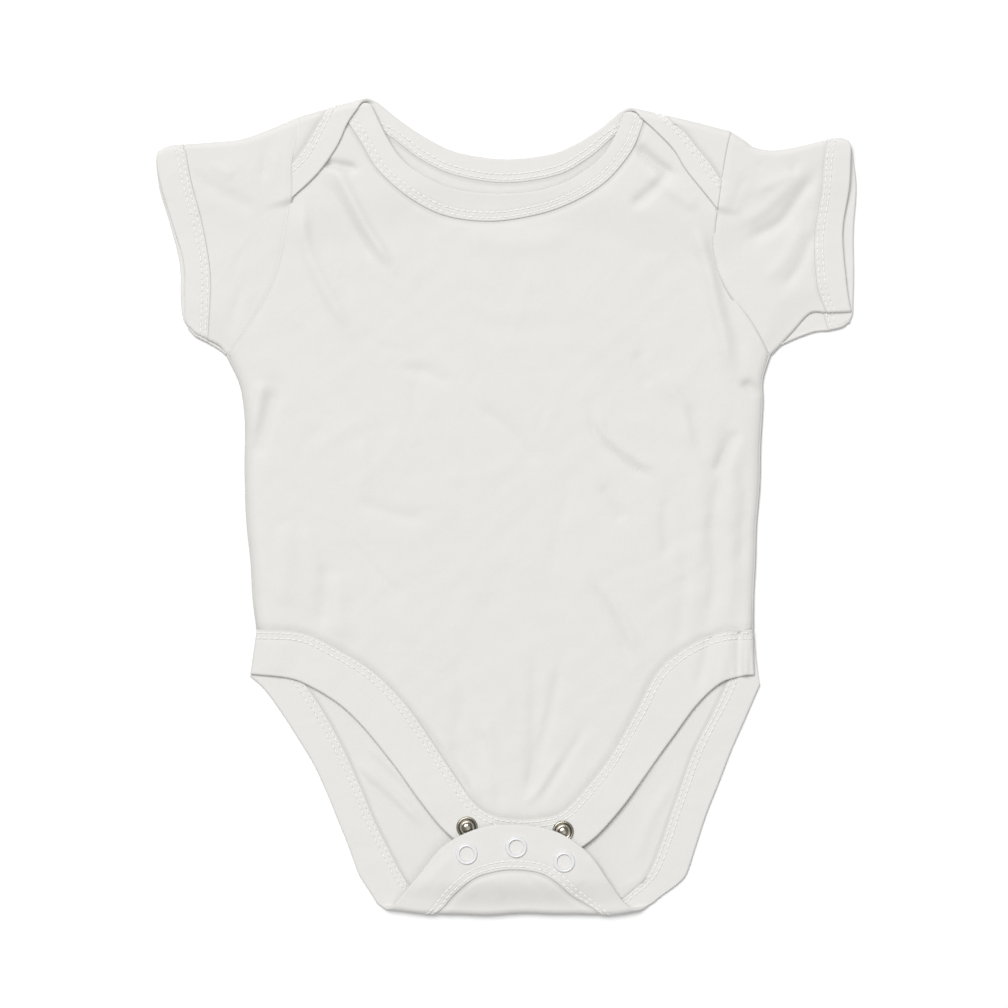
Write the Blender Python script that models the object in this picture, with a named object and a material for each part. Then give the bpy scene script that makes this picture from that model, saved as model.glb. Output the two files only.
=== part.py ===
"""A baby bodysuit with lap shoulders and a snapped crotch, lying flat on its back.

Each cut and sewn piece is one object. A piece starts as its outside face, laid out
from short tables of landmarks in millimetres, and a Solidify modifier gives it its
cloth's thickness on the inside. The back's shoulders turn over onto the front as
laps, the front's shoulders turn over the other way inside them, and the back's
crotch turns up over the front's.

The frame: X runs to the wearer's left, Y to the neck, Z up, from the middle of the
surface that the garment lies on.
"""

import math

import bmesh
import bpy
import numpy as np

MM = 0.001  # the tables are in millimetres, the scene in metres

# Driving sizes
JERSEY = 1.0  # the wall of the body and the sleeves
RIB = 1.4  # a folded binding
LAYER_GAP = 0.3  # between pieces that lie on each other
SEAM_GAP = 0.5  # between pieces that meet edge to edge at a seam
TURN_GAP = 1.2  # the same, where the seam slants round a fold
SHOULDER_RADIUS = 3.25  # of the back's outside face round a shoulder fold
CROTCH_RADIUS = 2.4  # of the back's outside face round the crotch fold
INNER_RADIUS = SHOULDER_RADIUS - RIB - LAYER_GAP  # of the front's outside face, inside it
CUFF_RADIUS = 2.4  # of a cuff at its top fold
SNAP_RADIUS = 4.7

# Heights of the front's outside face over the surface
FRONT = {
    "loft": 3.2,
    "side seam": 2 * JERSEY + LAYER_GAP,
    "leg corner": 2 * RIB + LAYER_GAP + 0.1,
    "crotch": 3.8,
    "shoulder": SHOULDER_RADIUS + INNER_RADIUS,
}
FLAP_RISE = 3.3  # of the crotch flap, from its fold to the snaps that it lies on
SNAP_MIDDLE = 4.6  # the x of the middle snap

# How finely each piece is divided
TURN_STEPS = 6  # round a fold
BAND_STEPS = 3  # across a binding
LEG_STEPS = 10  # down the back's leg opening
FLAP_STEPS = 8  # across the crotch flap
NECK_STEPS = 19  # round the neck, between the shoulders
SHOULDER_STEPS = {"right": 4, "left": 5}  # along each shoulder and down its lap
SIDE_STEPS = 9  # up a side seam
ARMHOLE_STEPS = 9  # up an armhole
LAP_STEPS = 4  # across a lap or the crotch flap
SLEEVE_STEPS = 6  # from the armhole to the cuff

# Columns: y, then the x of the wearer's right and left side seams
BODY_SIDES = [
    (-54.0, -108.3, 107.9),
    (-36.5, -110.3, 108.3),
    (-17.0, -112.0, 109.2),
    (7.0, -113.1, 110.1),
    (28.7, -113.1, 111.1),
    (46.1, -114.2, 112.2),
    (54.8, -115.9, 112.3),
    (65.2, -121.1, 115.1),
]

# Columns: x, y, from the underarm to the shoulder fold
ARMHOLES = {
    "right": [
        (-121.1, 65.2),
        (-112.2, 77.9),
        (-103.1, 94.4),
        (-96.8, 113.5),
        (-94.2, 130.0),
        (-93.7, 148.0),
        (-89.3, 166.6),
    ],
    "left": [
        (115.1, 65.2),
        (107.1, 80.5),
        (97.0, 95.3),
        (92.0, 109.2),
        (91.6, 124.0),
        (94.6, 143.0),
        (97.2, 159.6),
    ],
}

# Where each shoulder fold starts at its armhole, and a point that it runs to
SHOULDER_FOLDS = {"right": ((-88.5, 169.4), (-60.2, 177.0)), "left": ((97.7, 162.7), (52.9, 173.8))}
CROTCH_FOLD = ((0.0, -177.3), (1.0, -177.3))

# Where a layer's neck seam and neck edge cross the start and the end of a shoulder's
# turn, as distances along the fold. The front's ends are inside the garment.
TURNS = {
    ("back", "right"): {"seam": (16.5, 8.2), "edge": (34.0, 24.8), "armhole": (-1.7, -1.7)},
    ("back", "left"): {"seam": (38.0, 24.5), "edge": (49.0, 39.8), "armhole": (-0.3, -0.3)},
    ("front", "right"): {"seam": (17.0, 12.5), "edge": (30.7, 26.5), "armhole": (-1.7, -1.7)},
    ("front", "left"): {"seam": (37.5, 32.5), "edge": (47.0, 42.0), "armhole": (-0.3, -0.3)},
}
CROTCH_TURN = {"seam": ((-35.0, 45.5), (-27.5, 38.8)), "edge": ((-56.0, 65.0), (-48.5, 54.0))}

# Sections of the neck bindings between the shoulders, from the wearer's right to the
# left. Columns: the seam's x and y, the free edge's x and y.
NECK_SECTIONS = {
    "back": [
        (-52.0, 161.5, -44.5, 166.8),
        (-37.2, 150.9, -32.4, 159.2),
        (-22.0, 143.8, -19.8, 153.6),
        (-0.2, 140.1, -0.2, 150.5),
        (22.0, 143.6, 18.5, 152.5),
        (36.8, 151.8, 30.7, 157.5),
        (48.5, 161.8, 41.5, 164.5),
    ],
    "front": [
        (-62.9, 157.5, -52.0, 161.4),
        (-55.5, 145.3, -45.0, 150.9),
        (-42.4, 134.0, -35.5, 143.8),
        (-25.9, 126.2, -22.0, 137.9),
        (-5.4, 123.5, -4.6, 135.7),
        (15.0, 126.6, 12.0, 136.6),
        (30.2, 132.7, 24.6, 140.5),
        (42.4, 140.5, 35.0, 146.6),
        (50.7, 148.8, 42.8, 153.4),
        (56.4, 157.0, 47.6, 161.2),
    ],
}

# Sections of each lap's binding from the fold to the armhole, as distances along the
# shoulder fold and down from it. Columns: the seam's, then the free edge's. The
# front's laps are hidden inside and are as long.
LAP_SECTIONS = {
    "right": [(5.0, 6.0, 18.5, 8.6), (-0.5, 11.3, 11.0, 17.4), (-5.0, 15.2, 0.0, 26.0), (-9.4, 18.6, -13.6, 33.2)],
    "left": [(18.5, 5.6, 30.5, 8.4), (11.0, 11.2, 21.5, 14.3), (4.8, 15.8, 13.5, 22.5), (-1.0, 21.7, -2.4, 34.6)],
}

# Sections of the front's leg binding, from the wearer's right side seam round the
# crotch to the left one. Columns as for the neck.
FRONT_LEG_SECTIONS = [
    (-108.1, -53.5, -110.7, -73.1),
    (-89.4, -54.6, -94.0, -74.9),
    (-74.9, -60.8, -84.0, -78.9),
    (-57.6, -71.3, -72.0, -86.5),
    (-43.8, -85.4, -60.3, -97.6),
    (-31.4, -102.1, -49.4, -110.9),
    (-20.7, -118.6, -37.6, -127.7),
    (-13.2, -128.9, -25.6, -142.4),
    (-5.4, -134.0, -12.0, -152.2),
    (4.1, -135.8, 4.1, -155.7),
    (15.2, -135.3, 20.2, -154.0),
    (24.6, -132.4, 35.7, -146.3),
    (35.3, -121.4, 49.1, -133.0),
    (45.9, -107.6, 61.2, -116.4),
    (56.6, -88.4, 72.4, -100.8),
    (66.7, -71.4, 82.4, -87.2),
    (79.2, -60.8, 93.0, -77.6),
    (93.6, -54.7, 102.0, -74.2),
    (107.7, -53.5, 108.6, -73.4),
]

# Sections of the back's leg binding, from each side seam to the crotch fold
BACK_LEG_SECTIONS = {
    "right": [
        (-108.3, -54.0, -111.1, -74.0),
        (-90.7, -72.2, -103.3, -81.8),
        (-72.0, -100.9, -85.9, -107.0),
        (-63.0, -121.2, -78.5, -122.7),
        (-55.4, -139.8, -71.1, -141.4),
        (-46.2, -158.0, -64.2, -159.6),
        (-35.0, -174.9, -56.0, -174.9),
    ],
    "left": [
        (107.9, -54.0, 110.9, -77.9),
        (91.1, -87.0, 105.5, -89.2),
        (80.7, -107.9, 97.2, -108.3),
        (73.3, -129.2, 89.4, -128.8),
        (66.8, -147.0, 82.4, -147.9),
        (58.9, -164.0, 75.9, -165.7),
        (45.5, -174.9, 65.0, -174.9),
    ],
}

# Sections of the same binding round the crotch flap, wearer's right to left
FLAP_SECTIONS = [
    (-26.0, -173.6, -44.5, -169.5),
    (-21.0, -167.9, -37.2, -159.2),
    (-14.0, -162.0, -27.6, -147.5),
    (-6.5, -159.2, -12.8, -140.1),
    (3.0, -158.0, 1.1, -138.1),
    (14.0, -159.3, 20.7, -140.9),
    (21.5, -163.2, 35.0, -150.1),
    (28.8, -169.4, 43.7, -161.4),
    (36.5, -173.7, 51.0, -171.5),
]

# Half sleeves and cuffs. Columns: x, y, from the underarm to the top fold for the
# cuff's seam and edges, and from the armhole to the cuff for the top fold.
SLEEVES = {
    "right": {
        "top": [(-102.4, 164.0), (-115.1, 159.6), (-131.6, 157.6), (-140.3, 157.0)],
        "cuff seam": [(-129.8, 72.0), (-129.0, 87.4), (-129.2, 100.5), (-131.6, 120.9), (-136.6, 139.2), (-140.3, 157.0)],
        "underarm": [(-121.1, 65.2), (-124.6, 69.4), (-129.8, 72.0)],
        "underarm, back": [(-121.1, 65.2), (-125.0, 68.2), (-130.0, 71.0)],
        "cuff edge": [(-139.6, 76.6), (-139.7, 89.6), (-140.5, 106.1), (-144.4, 122.2), (-149.4, 137.5), (-152.5, 155.4)],
        "cuff edge, back": [(-139.8, 75.6), (-141.4, 89.6), (-142.3, 106.1), (-145.6, 122.2), (-150.4, 137.5), (-152.5, 155.4)],
    },
    "left": {
        "top": [(104.2, 158.8), (108.6, 155.9), (117.2, 154.9), (128.1, 156.6), (139.9, 159.4)],
        "cuff seam": [(140.5, 83.5), (136.4, 95.3), (134.8, 110.0), (135.2, 122.0), (137.4, 138.0), (139.9, 159.4)],
        "underarm": [(115.1, 65.2), (124.6, 75.3), (132.9, 83.6), (140.5, 83.5)],
        "underarm, back": [(115.1, 65.2), (119.8, 69.8), (132.9, 75.2), (140.7, 76.1)],
        "cuff edge": [(150.9, 83.9), (148.9, 95.3), (147.0, 111.4), (147.0, 123.5), (149.6, 141.0), (150.4, 160.6)],
        "cuff edge, back": [(151.4, 78.3), (151.9, 95.3), (151.5, 111.4), (151.6, 123.5), (152.4, 141.0), (150.4, 160.6)],
    },
}
UNDERARM_OUT = 2 * JERSEY + LAYER_GAP  # height of a sleeve's front half at its underarm
SLEEVE_LOFT = 3.5

# The broad soft folds. Columns: name, x and y of each end, half width, height.
FRONT_FOLDS = [
    ("beside the left side seam", 99.5, 45.0, 101.5, -52.0, 6.0, 1.3),
    ("left of the middle", 82.0, 30.0, 84.0, -48.0, 7.0, 0.9),
    ("under the left arm", 88.0, 96.0, 103.0, 52.0, 6.0, 1.2),
    ("under the right arm", -100.0, 62.0, -107.0, 26.0, 6.0, 1.2),
    ("under the right lap", -72.0, 118.0, -56.0, 84.0, 6.0, 0.8),
]
SLEEVE_FOLDS = {
    "right": [("down from the shoulder", -106.0, 150.0, -105.0, 128.0, 5.0, 1.0)],
    "left": [
        ("down from the shoulder", 122.0, 143.0, 104.0, 120.0, 6.0, 1.2),
        ("into the cuff", 130.0, 122.0, 120.0, 100.0, 5.0, 0.9),
    ],
}

# Snap fasteners: x and y of each, and the heights of its parts
SNAPS = {
    "right": {"cap": (-16.9, -150.8), "stud": (-16.7, -139.6)},
    "middle": {"cap": (SNAP_MIDDLE, -147.9), "stud": (SNAP_MIDDLE, -147.9)},
    "left": {"cap": (25.4, -154.2), "stud": (25.0, -141.4)},
}

COLOURS = {
    "jersey": ((0.80, 0.79, 0.76, 1.0), 0.0, 0.9),
    "rib": ((0.82, 0.81, 0.78, 1.0), 0.0, 0.9),
    "cap": ((0.86, 0.86, 0.84, 1.0), 0.0, 0.35),
    "steel": ((0.62, 0.60, 0.56, 1.0), 1.0, 0.25),
}


def smooth(t):
    """0 to 1 with level ends, for t from 0 to 1."""
    t = np.clip(t, 0.0, 1.0)
    return t * t * (3 - 2 * t)


def curve(landmarks, steps):
    """steps + 1 evenly spaced rows along a smooth line through the landmarks' rows."""
    rows = np.array(landmarks, float)
    rows = np.vstack([2 * rows[0] - rows[1], rows, 2 * rows[-1] - rows[-2]])
    t = np.linspace(0, 1, 20, endpoint=False)[:, None]
    fine = [
        (2 * b + (c - a) * t + (2 * a - 5 * b + 4 * c - d) * t**2 + (3 * b - a - 3 * c + d) * t**3) / 2
        for a, b, c, d in zip(rows, rows[1:], rows[2:], rows[3:])
    ]
    fine = np.vstack(fine + [rows[-2:-1]])
    run = np.concatenate([[0], np.cumsum(np.linalg.norm(np.diff(fine, axis=0), axis=1))])
    stations = np.linspace(0, run[-1], steps + 1)
    return np.column_stack([np.interp(stations, run, column) for column in fine.T])


def between(first, last, steps):
    """steps + 1 rows of points that go evenly from one row to another."""
    share = np.linspace(0, 1, steps + 1).reshape(-1, *[1] * np.ndim(first))
    return np.asarray(first) * (1 - share) + np.asarray(last) * share


def joined(*lines):
    """Lines end to end, each without the point that it shares with the one before."""
    return np.vstack([lines[0], *[line[1:] for line in lines[1:]]])


def coons(bottom, top, left, right):
    """A grid of points that fills four lines: rows from bottom to top."""
    u = np.linspace(0, 1, len(bottom))[None, :, None]
    v = np.linspace(0, 1, len(left))[:, None, None]
    corners = (
        (1 - u) * (1 - v) * bottom[0] + u * (1 - v) * bottom[-1] + (1 - u) * v * top[0] + u * v * top[-1]
    )
    return (1 - v) * bottom + v * top + (1 - u) * left[:, None] + u * right[:, None] - corners


def lifted(points, height):
    """Points in the plane raised to a height, or to what a function of x and y gives."""
    z = height(points[..., 0], points[..., 1]) if callable(height) else np.full(points.shape[:-1], float(height))
    return np.concatenate([points, z[..., None]], axis=-1)


class Fold:
    """A straight fold of the garment: its line in plan, and the radius of the outermost face round it."""

    def __init__(self, line, radius, inward):
        self.start, end = np.array(line, float)
        self.along = (end - self.start) / np.linalg.norm(end - self.start)
        self.inward = np.array([-self.along[1], self.along[0]])
        if self.inward[1] * inward < 0:
            self.inward = -self.inward
        self.radius = radius

    def at(self, along, depth):
        """Points in plan, from distances along the fold and in from it."""
        along, depth = np.broadcast_arrays(np.asarray(along, float), np.asarray(depth, float))
        return self.start + along[..., None] * self.along + depth[..., None] * self.inward

    def depth(self, x, y):
        """How far in from the fold a point in plan is."""
        return (x - self.start[0]) * self.inward[0] + (y - self.start[1]) * self.inward[1]

    def turn(self, first, last, radius, upward=True, steps=TURN_STEPS):
        """Rows of points round the fold at a radius, whose places along it go from one row of distances to another."""
        angle = np.linspace(0, math.pi, steps + 1) if upward else np.linspace(math.pi, 0, steps + 1)
        along = between(first, last, steps)
        rows = self.at(along, (self.radius - radius * np.sin(angle))[:, None])
        return lifted(rows, 0) + np.array([0, 0, 1]) * (self.radius - radius * np.cos(angle))[:, None, None]


SHOULDERS = {side: Fold(line, SHOULDER_RADIUS, -1) for side, line in SHOULDER_FOLDS.items()}
CROTCH = Fold(CROTCH_FOLD, CROTCH_RADIUS, 1)
SIDE_LINES = {
    "right": curve([(right, y) for y, right, _ in BODY_SIDES], SIDE_STEPS),
    "left": curve([(left, y) for y, _, left in BODY_SIDES], SIDE_STEPS),
}


def away(x, y, line):
    """The distance in plan to the nearest of a line's points."""
    gaps = np.hypot(np.asarray(x)[..., None] - line[:, 0], np.asarray(y)[..., None] - line[:, 1])
    return gaps.min(axis=-1)


def folds_at(x, y, folds):
    """The height that soft folds add: a rounded ridge along each line, fading at its ends."""
    total = np.zeros(np.shape(x))
    for _, x0, y0, x1, y1, width, height in folds:
        run = np.array([x1 - x0, y1 - y0])
        share = ((x - x0) * run[0] + (y - y0) * run[1]) / (run @ run)
        near = np.clip(share, 0, 1)
        across = np.hypot(x - x0 - near * run[0], y - y0 - near * run[1])
        total += height * np.exp(-((across / width) ** 2)) * smooth(4 * share + 0.5) * smooth(4 * (1 - share) + 0.5)
    return total


def front_height(x, y):
    """The outside face of the front over the surface it lies on."""
    fine_sides = [between(a, b, 4) for line in SIDE_LINES.values() for a, b in zip(line, line[1:])]
    inside = smooth(away(x, y, np.vstack(fine_sides)) / 16)
    corner = smooth((-y - 38) / 14)
    side = FRONT["side seam"] * (1 - corner) + FRONT["leg corner"] * corner
    height = side + (FRONT["loft"] - side) * inside
    height = height + (FRONT["crotch"] - FRONT["loft"]) * smooth((-y - 105) / 25)
    height = height + folds_at(x, y, FRONT_FOLDS) * inside
    for fold in SHOULDERS.values():
        near = smooth((60 - fold.depth(x, y)) / 22)
        height = height + (FRONT["shoulder"] - height) * near
    return height


def lap_height(x, y):
    """A lap's outside face: it lies on the front, clear of the front's own binding."""
    return front_height(x, y) + LAYER_GAP + RIB


def flap_height(x, y):
    """The crotch flap's outside face: it rises from its fold to lie on the snaps, and falls away beside them."""
    rise = smooth((CROTCH.depth(x, y) - CROTCH_RADIUS) / 13)
    beside = 1 - 0.6 * smooth((np.abs(x - SNAP_MIDDLE) - 24) / 22)
    return 2 * CROTCH_RADIUS + FLAP_RISE * rise * beside


def material(name):
    found = bpy.data.materials.get(name)
    if found:
        return found
    colour, metallic, roughness = COLOURS[name]
    made = bpy.data.materials.new(name)
    made.use_nodes = True
    shader = made.node_tree.nodes["Principled BSDF"]
    shader.inputs["Base Color"].default_value = colour
    shader.inputs["Metallic"].default_value = metallic
    shader.inputs["Roughness"].default_value = roughness
    made.diffuse_color = colour
    return made


def add_object(name, points, faces, stuff):
    mesh = bpy.data.meshes.new(name)
    mesh.from_pydata((np.asarray(points) * MM).tolist(), [], np.asarray(faces).tolist())
    mesh.materials.append(material(stuff))
    made = bpy.data.objects.new(name, mesh)
    bpy.context.scene.collection.objects.link(made)
    return made


def merge_points(mesh):
    """Joins the points that a mesh's patches share."""
    shell = bmesh.new()
    shell.from_mesh(mesh)
    bmesh.ops.remove_doubles(shell, verts=shell.verts, dist=0.01 * MM)
    shell.to_mesh(mesh)
    shell.free()


def cloth(name, patches, thickness, stuff, outward=1):
    """One piece of cloth from grids of points on its outside face, which share their edges. Its wall lies inside that face."""
    points, faces, count = [], [], 0
    for patch in patches:
        rows, columns = patch.shape[:2]
        index = count + np.arange(rows * columns).reshape(rows, columns)
        corners = [index[:-1, :-1], index[:-1, 1:], index[1:, 1:], index[1:, :-1]]
        faces.append(np.stack(corners, axis=-1).reshape(-1, 4)[:, ::outward])
        points.append(patch.reshape(-1, 3))
        count += rows * columns
    made = add_object(name, np.vstack(points), np.vstack(faces), stuff)
    merge_points(made.data)
    made.data.shade_smooth()
    wall = made.modifiers.new("Wall", "SOLIDIFY")
    wall.thickness = thickness * MM
    wall.offset = -1
    return made


def across(sections, steps=BAND_STEPS):
    """The points across a binding at each section, from just clear of its seam to its free edge."""
    seam, edge = sections[:, :2], sections[:, 2:]
    run = np.gradient(seam, axis=0)
    way = np.column_stack([-run[:, 1], run[:, 0]]) / np.linalg.norm(run, axis=1)[:, None]
    way *= np.sign(np.sum(way * (edge - seam), axis=1))[:, None]
    return np.swapaxes(between(seam + way * SEAM_GAP, edge, steps), 0, 1)


def band_row(seam, edge):
    """Distances along a fold of the points across a binding that it turns."""
    return between(seam + math.copysign(TURN_GAP, edge - seam), edge, BAND_STEPS)


def turn_band(layer, side):
    """A neck binding's rows round a shoulder, from the neck to its lap."""
    turn = TURNS[layer, side]
    first, last = (band_row(*ends) for ends in zip(turn["seam"], turn["edge"]))
    radius = SHOULDER_RADIUS if layer == "back" else INNER_RADIUS
    return SHOULDERS[side].turn(first, last, radius, upward=layer == "back")


def lap_sections(layer, side):
    """A lap's binding in plan, from the end of its turn to the armhole."""
    turn, fold = TURNS[layer, side], SHOULDERS[side]
    start = (turn["seam"][1], SHOULDER_RADIUS, turn["edge"][1], SHOULDER_RADIUS)
    rows = curve([start, *LAP_SECTIONS[side]], SHOULDER_STEPS[side])
    return np.hstack([fold.at(rows[:, 0], rows[:, 1]), fold.at(rows[:, 2], rows[:, 3])])


def neck_sections(layer):
    """The neck binding in plan between the starts of its two turns, wearer's right to left."""
    ends = []
    for side in ("right", "left"):
        turn, fold = TURNS[layer, side], SHOULDERS[side]
        ends.append([*fold.at(turn["seam"][0], SHOULDER_RADIUS), *fold.at(turn["edge"][0], SHOULDER_RADIUS)])
    return curve([ends[0], *NECK_SECTIONS[layer], ends[1]], NECK_STEPS)


def neck_binding(layer):
    """The neck's binding with its two turned ends."""
    level, lap_level = (0.0, lap_height) if layer == "back" else (front_height, SHOULDER_RADIUS - INNER_RADIUS)
    laps = {side: lifted(across(lap_sections(layer, side)), lap_level) for side in SHOULDERS}
    turns = {side: turn_band(layer, side) for side in SHOULDERS}
    neck = lifted(across(neck_sections(layer)), level)
    neck[0], neck[-1] = turns["right"][0], turns["left"][0]
    for side, lap in laps.items():
        lap[0] = turns[side][-1]
    patches = [neck, turns["left"], laps["left"], turns["right"][::-1], laps["right"][::-1]]
    name = f"neck_binding_{layer}"
    return cloth(name, patches, RIB, "rib", outward=1 if layer == "back" else -1)


def shoulder_rows(layer, side):
    """A panel's shoulder beyond the start of its fold: round the turn, then down to the lap's seam."""
    turn, fold = TURNS[layer, side], SHOULDERS[side]
    first, last = (between(*ends, SHOULDER_STEPS[side]) for ends in zip(turn["armhole"], turn["seam"]))
    radius = SHOULDER_RADIUS if layer == "back" else INNER_RADIUS
    turned = fold.turn(first, last, radius, upward=layer == "back")
    seam = lap_sections(layer, side)[::-1, :2]
    lap_level = lap_height if layer == "back" else SHOULDER_RADIUS - INNER_RADIUS
    lap = lifted(between(fold.at(last, SHOULDER_RADIUS), seam, LAP_STEPS), lap_level)
    lap[0] = turned[-1]
    rows = joined(turned, lap)
    return rows if side == "right" else rows[:, ::-1]


def side_line(layer, side):
    """A panel's side, up its side seam and its armhole to the start of the shoulder's turn."""
    start = SHOULDERS[side].at(TURNS[layer, side]["armhole"][0], SHOULDER_RADIUS)
    hole = curve([*ARMHOLES[side][:-1], start], ARMHOLE_STEPS)
    return joined(SIDE_LINES[side], hole)


def panel_top(layer):
    """A panel's top: its right shoulder, its neck seam and its left shoulder."""
    rows = {}
    for side in SHOULDERS:
        turn = TURNS[layer, side]
        along = between(turn["armhole"][0], turn["seam"][0], SHOULDER_STEPS[side])
        rows[side] = SHOULDERS[side].at(along, SHOULDER_RADIUS)
    return joined(rows["right"], neck_sections(layer)[:, :2], rows["left"][::-1])


def front_panel():
    columns = sum(SHOULDER_STEPS.values()) + NECK_STEPS
    seam = curve(FRONT_LEG_SECTIONS, columns)[:, :2]
    right, left = side_line("front", "right"), side_line("front", "left")
    right[0], left[0] = seam[0], seam[-1]
    body = lifted(coons(seam, panel_top("front"), right, left), front_height)
    laps = [shoulder_rows("front", side) for side in SHOULDERS]
    body[-1, : SHOULDER_STEPS["right"] + 1] = laps[0][0]
    body[-1, -SHOULDER_STEPS["left"] - 1 :] = laps[1][0]
    return cloth("front_panel", [body, *laps], JERSEY, "jersey")


def back_leg_sections(side):
    return curve(BACK_LEG_SECTIONS[side], LEG_STEPS)


def flap_sections():
    return curve(FLAP_SECTIONS, FLAP_STEPS)


def back_panel():
    """The back in one piece: the crotch flap, the seat and back, and the two laps."""
    seam_x = [between(*ends, FLAP_STEPS) for ends in CROTCH_TURN["seam"]]
    turned = CROTCH.turn(seam_x[0], seam_x[1], CROTCH_RADIUS)
    flap = lifted(between(turned[-1, :, :2], flap_sections()[:, :2], LAP_STEPS), flap_height)
    flap[0] = turned[-1]
    legs = {side: back_leg_sections(side)[:, :2] for side in SHOULDERS}
    bottom = joined(legs["right"], turned[0, :, :2], legs["left"][::-1])
    body = lifted(coons(bottom, panel_top("back"), side_line("back", "right"), side_line("back", "left")), 0)
    laps = [shoulder_rows("back", side) for side in SHOULDERS]
    patches = [joined(turned, flap)[::-1], body, *laps]
    return cloth("back_panel", patches, JERSEY, "jersey", outward=-1)


def front_leg_binding():
    columns = sum(SHOULDER_STEPS.values()) + NECK_STEPS
    band = lifted(across(curve(FRONT_LEG_SECTIONS, columns)), front_height)
    return cloth("leg_binding_front", [band], RIB, "rib", outward=1)


def back_leg_binding():
    """The back's binding: down one leg opening, over the crotch fold, round the flap and back up the other."""
    patches = []
    for index, side in enumerate(("right", "left")):
        leg = lifted(across(back_leg_sections(side)), 0)
        first, last = (
            band_row(seam[index], edge[index]) for seam, edge in zip(CROTCH_TURN["seam"], CROTCH_TURN["edge"])
        )
        turned = CROTCH.turn(first, last, CROTCH_RADIUS)
        leg[-1] = turned[0]
        rows = joined(leg, turned)
        patches.append(rows if side == "right" else rows[::-1])
    flap = lifted(across(flap_sections()), flap_height)
    flap = np.vstack([patches[0][-1:], flap, patches[1][:1]])
    return cloth("leg_binding_back", [patches[0], flap, patches[1]], RIB, "rib", outward=-1)


def top_frame(side):
    """A sleeve's top fold: its points, which way is out, and the outer radius there."""
    fold = SHOULDERS[side]
    line = curve([fold.at(TURNS["back", side]["armhole"][0], 0), *SLEEVES[side]["top"]], SLEEVE_STEPS)
    run = np.gradient(line, axis=0)
    run[-1] = np.subtract(SLEEVES[side]["cuff edge"][-1], line[-1])
    out = np.column_stack([-run[:, 1], run[:, 0]]) / np.linalg.norm(run, axis=1)[:, None]
    out *= np.sign(out[:, 1:])
    out[0] = -fold.inward
    radius = SHOULDER_RADIUS + (CUFF_RADIUS - SHOULDER_RADIUS) * smooth(np.linspace(0, 1, len(line)))
    return line, out, radius


def turned_top(line, out, radius):
    """Rows round a fold that isn't straight, from underneath to on top: each point swings about a centre a radius in from it."""
    angle = np.linspace(0, math.pi, TURN_STEPS + 1)[:, None]
    centre = line - out * radius[:, None]
    plan = centre + out * (radius * np.sin(angle))[..., None]
    return np.concatenate([plan, (radius * (1 - np.cos(angle)))[..., None]], axis=-1)


def half_height(grid, radius, side, underarm):
    """The front half of a tube: low at its underarm, at the top fold's height at its top."""
    v = np.linspace(0, 1, len(grid))[:, None]
    length = np.linalg.norm(grid[-1] - grid[0], axis=-1)
    height = underarm + (SLEEVE_LOFT - underarm) * smooth(v * length / 14)
    height = height + (2 * radius - height) * smooth((v - 0.5) / 0.42)
    ridges = folds_at(grid[..., 0], grid[..., 1], SLEEVE_FOLDS[side])
    return height + ridges * smooth(v * 5) * smooth((1 - v) * 5)


def sleeve(side):
    """A sleeve: its back half on the surface, its top fold and its front half, open at both ends."""
    shape, sign = SLEEVES[side], -1 if side == "right" else 1
    line, out, radius = top_frame(side)
    inner_top = line - out * radius[:, None]
    hole = curve([*ARMHOLES[side][:-1], inner_top[0]], ARMHOLE_STEPS)
    hole[:, 0] += sign * SEAM_GAP
    inner_top[:, 0] += sign * SEAM_GAP * np.linspace(1, 0, len(inner_top))
    line = inner_top + out * radius[:, None]
    turned = turned_top(line, out, radius)
    halves = {}
    for name, key in (("front", "underarm"), ("back", "underarm, back")):
        under = curve([hole[0], *shape[key][1:]], SLEEVE_STEPS)
        seam = curve([under[-1], *shape["cuff seam"][1:-1], inner_top[-1]], ARMHOLE_STEPS)
        halves[name] = coons(under, inner_top, hole, seam)
    cuffward = np.linspace(0, 1, len(line)) ** 2
    underarm = UNDERARM_OUT + (2 * RIB + LAYER_GAP - UNDERARM_OUT) * cuffward
    front = np.dstack([halves["front"], half_height(halves["front"], radius, side, underarm)])
    front[-1] = turned[-1]
    back = lifted(halves["back"], 0)
    rows = joined(back, turned, front[::-1])
    return cloth(f"sleeve_{side}", [rows], JERSEY, "jersey", outward=-1 if side == "left" else 1)


def cuff(side):
    """A cuff's binding: a flat tube from just clear of the sleeve to its two free edges."""
    shape = SLEEVES[side]
    line, out, radius = top_frame(side)
    ends = np.array([line[-1], shape["cuff edge"][-1]])
    way = (ends[1] - ends[0]) / np.linalg.norm(ends[1] - ends[0])
    top = between(ends[0] + way * SEAM_GAP, ends[1], BAND_STEPS)
    outs = np.repeat([[-way[1], way[0]]], BAND_STEPS + 1, axis=0)
    outs *= np.sign(outs[:, 1:])
    radii = np.full(BAND_STEPS + 1, CUFF_RADIUS)
    inner_top = top - outs * CUFF_RADIUS
    turned = turned_top(top, outs, radii)
    halves = {}
    for name, ending, under in (("front", "", "underarm"), ("back", ", back", "underarm, back")):
        seam = [shape[under][-1], *shape["cuff seam"][1:-1]]
        edge = curve([*shape["cuff edge" + ending][:-1], inner_top[-1]], ARMHOLE_STEPS)
        seam = curve([*seam, line[-1] - out[-1] * CUFF_RADIUS], ARMHOLE_STEPS)
        toward = (edge - seam) / np.linalg.norm(edge - seam, axis=1)[:, None]
        grid = between(seam + toward * SEAM_GAP, edge, BAND_STEPS)
        halves[name] = np.swapaxes(grid, 0, 1)
        halves[name][-1] = inner_top
    height = half_height(halves["front"], CUFF_RADIUS, side, 2 * RIB + LAYER_GAP)
    front = np.dstack([halves["front"], height])
    front[-1] = turned[-1]
    back = lifted(halves["back"], 0)
    rows = joined(back, turned, front[::-1])
    return cloth(f"cuff_{side}", [rows], RIB, "rib", outward=-1 if side == "left" else 1)


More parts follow.
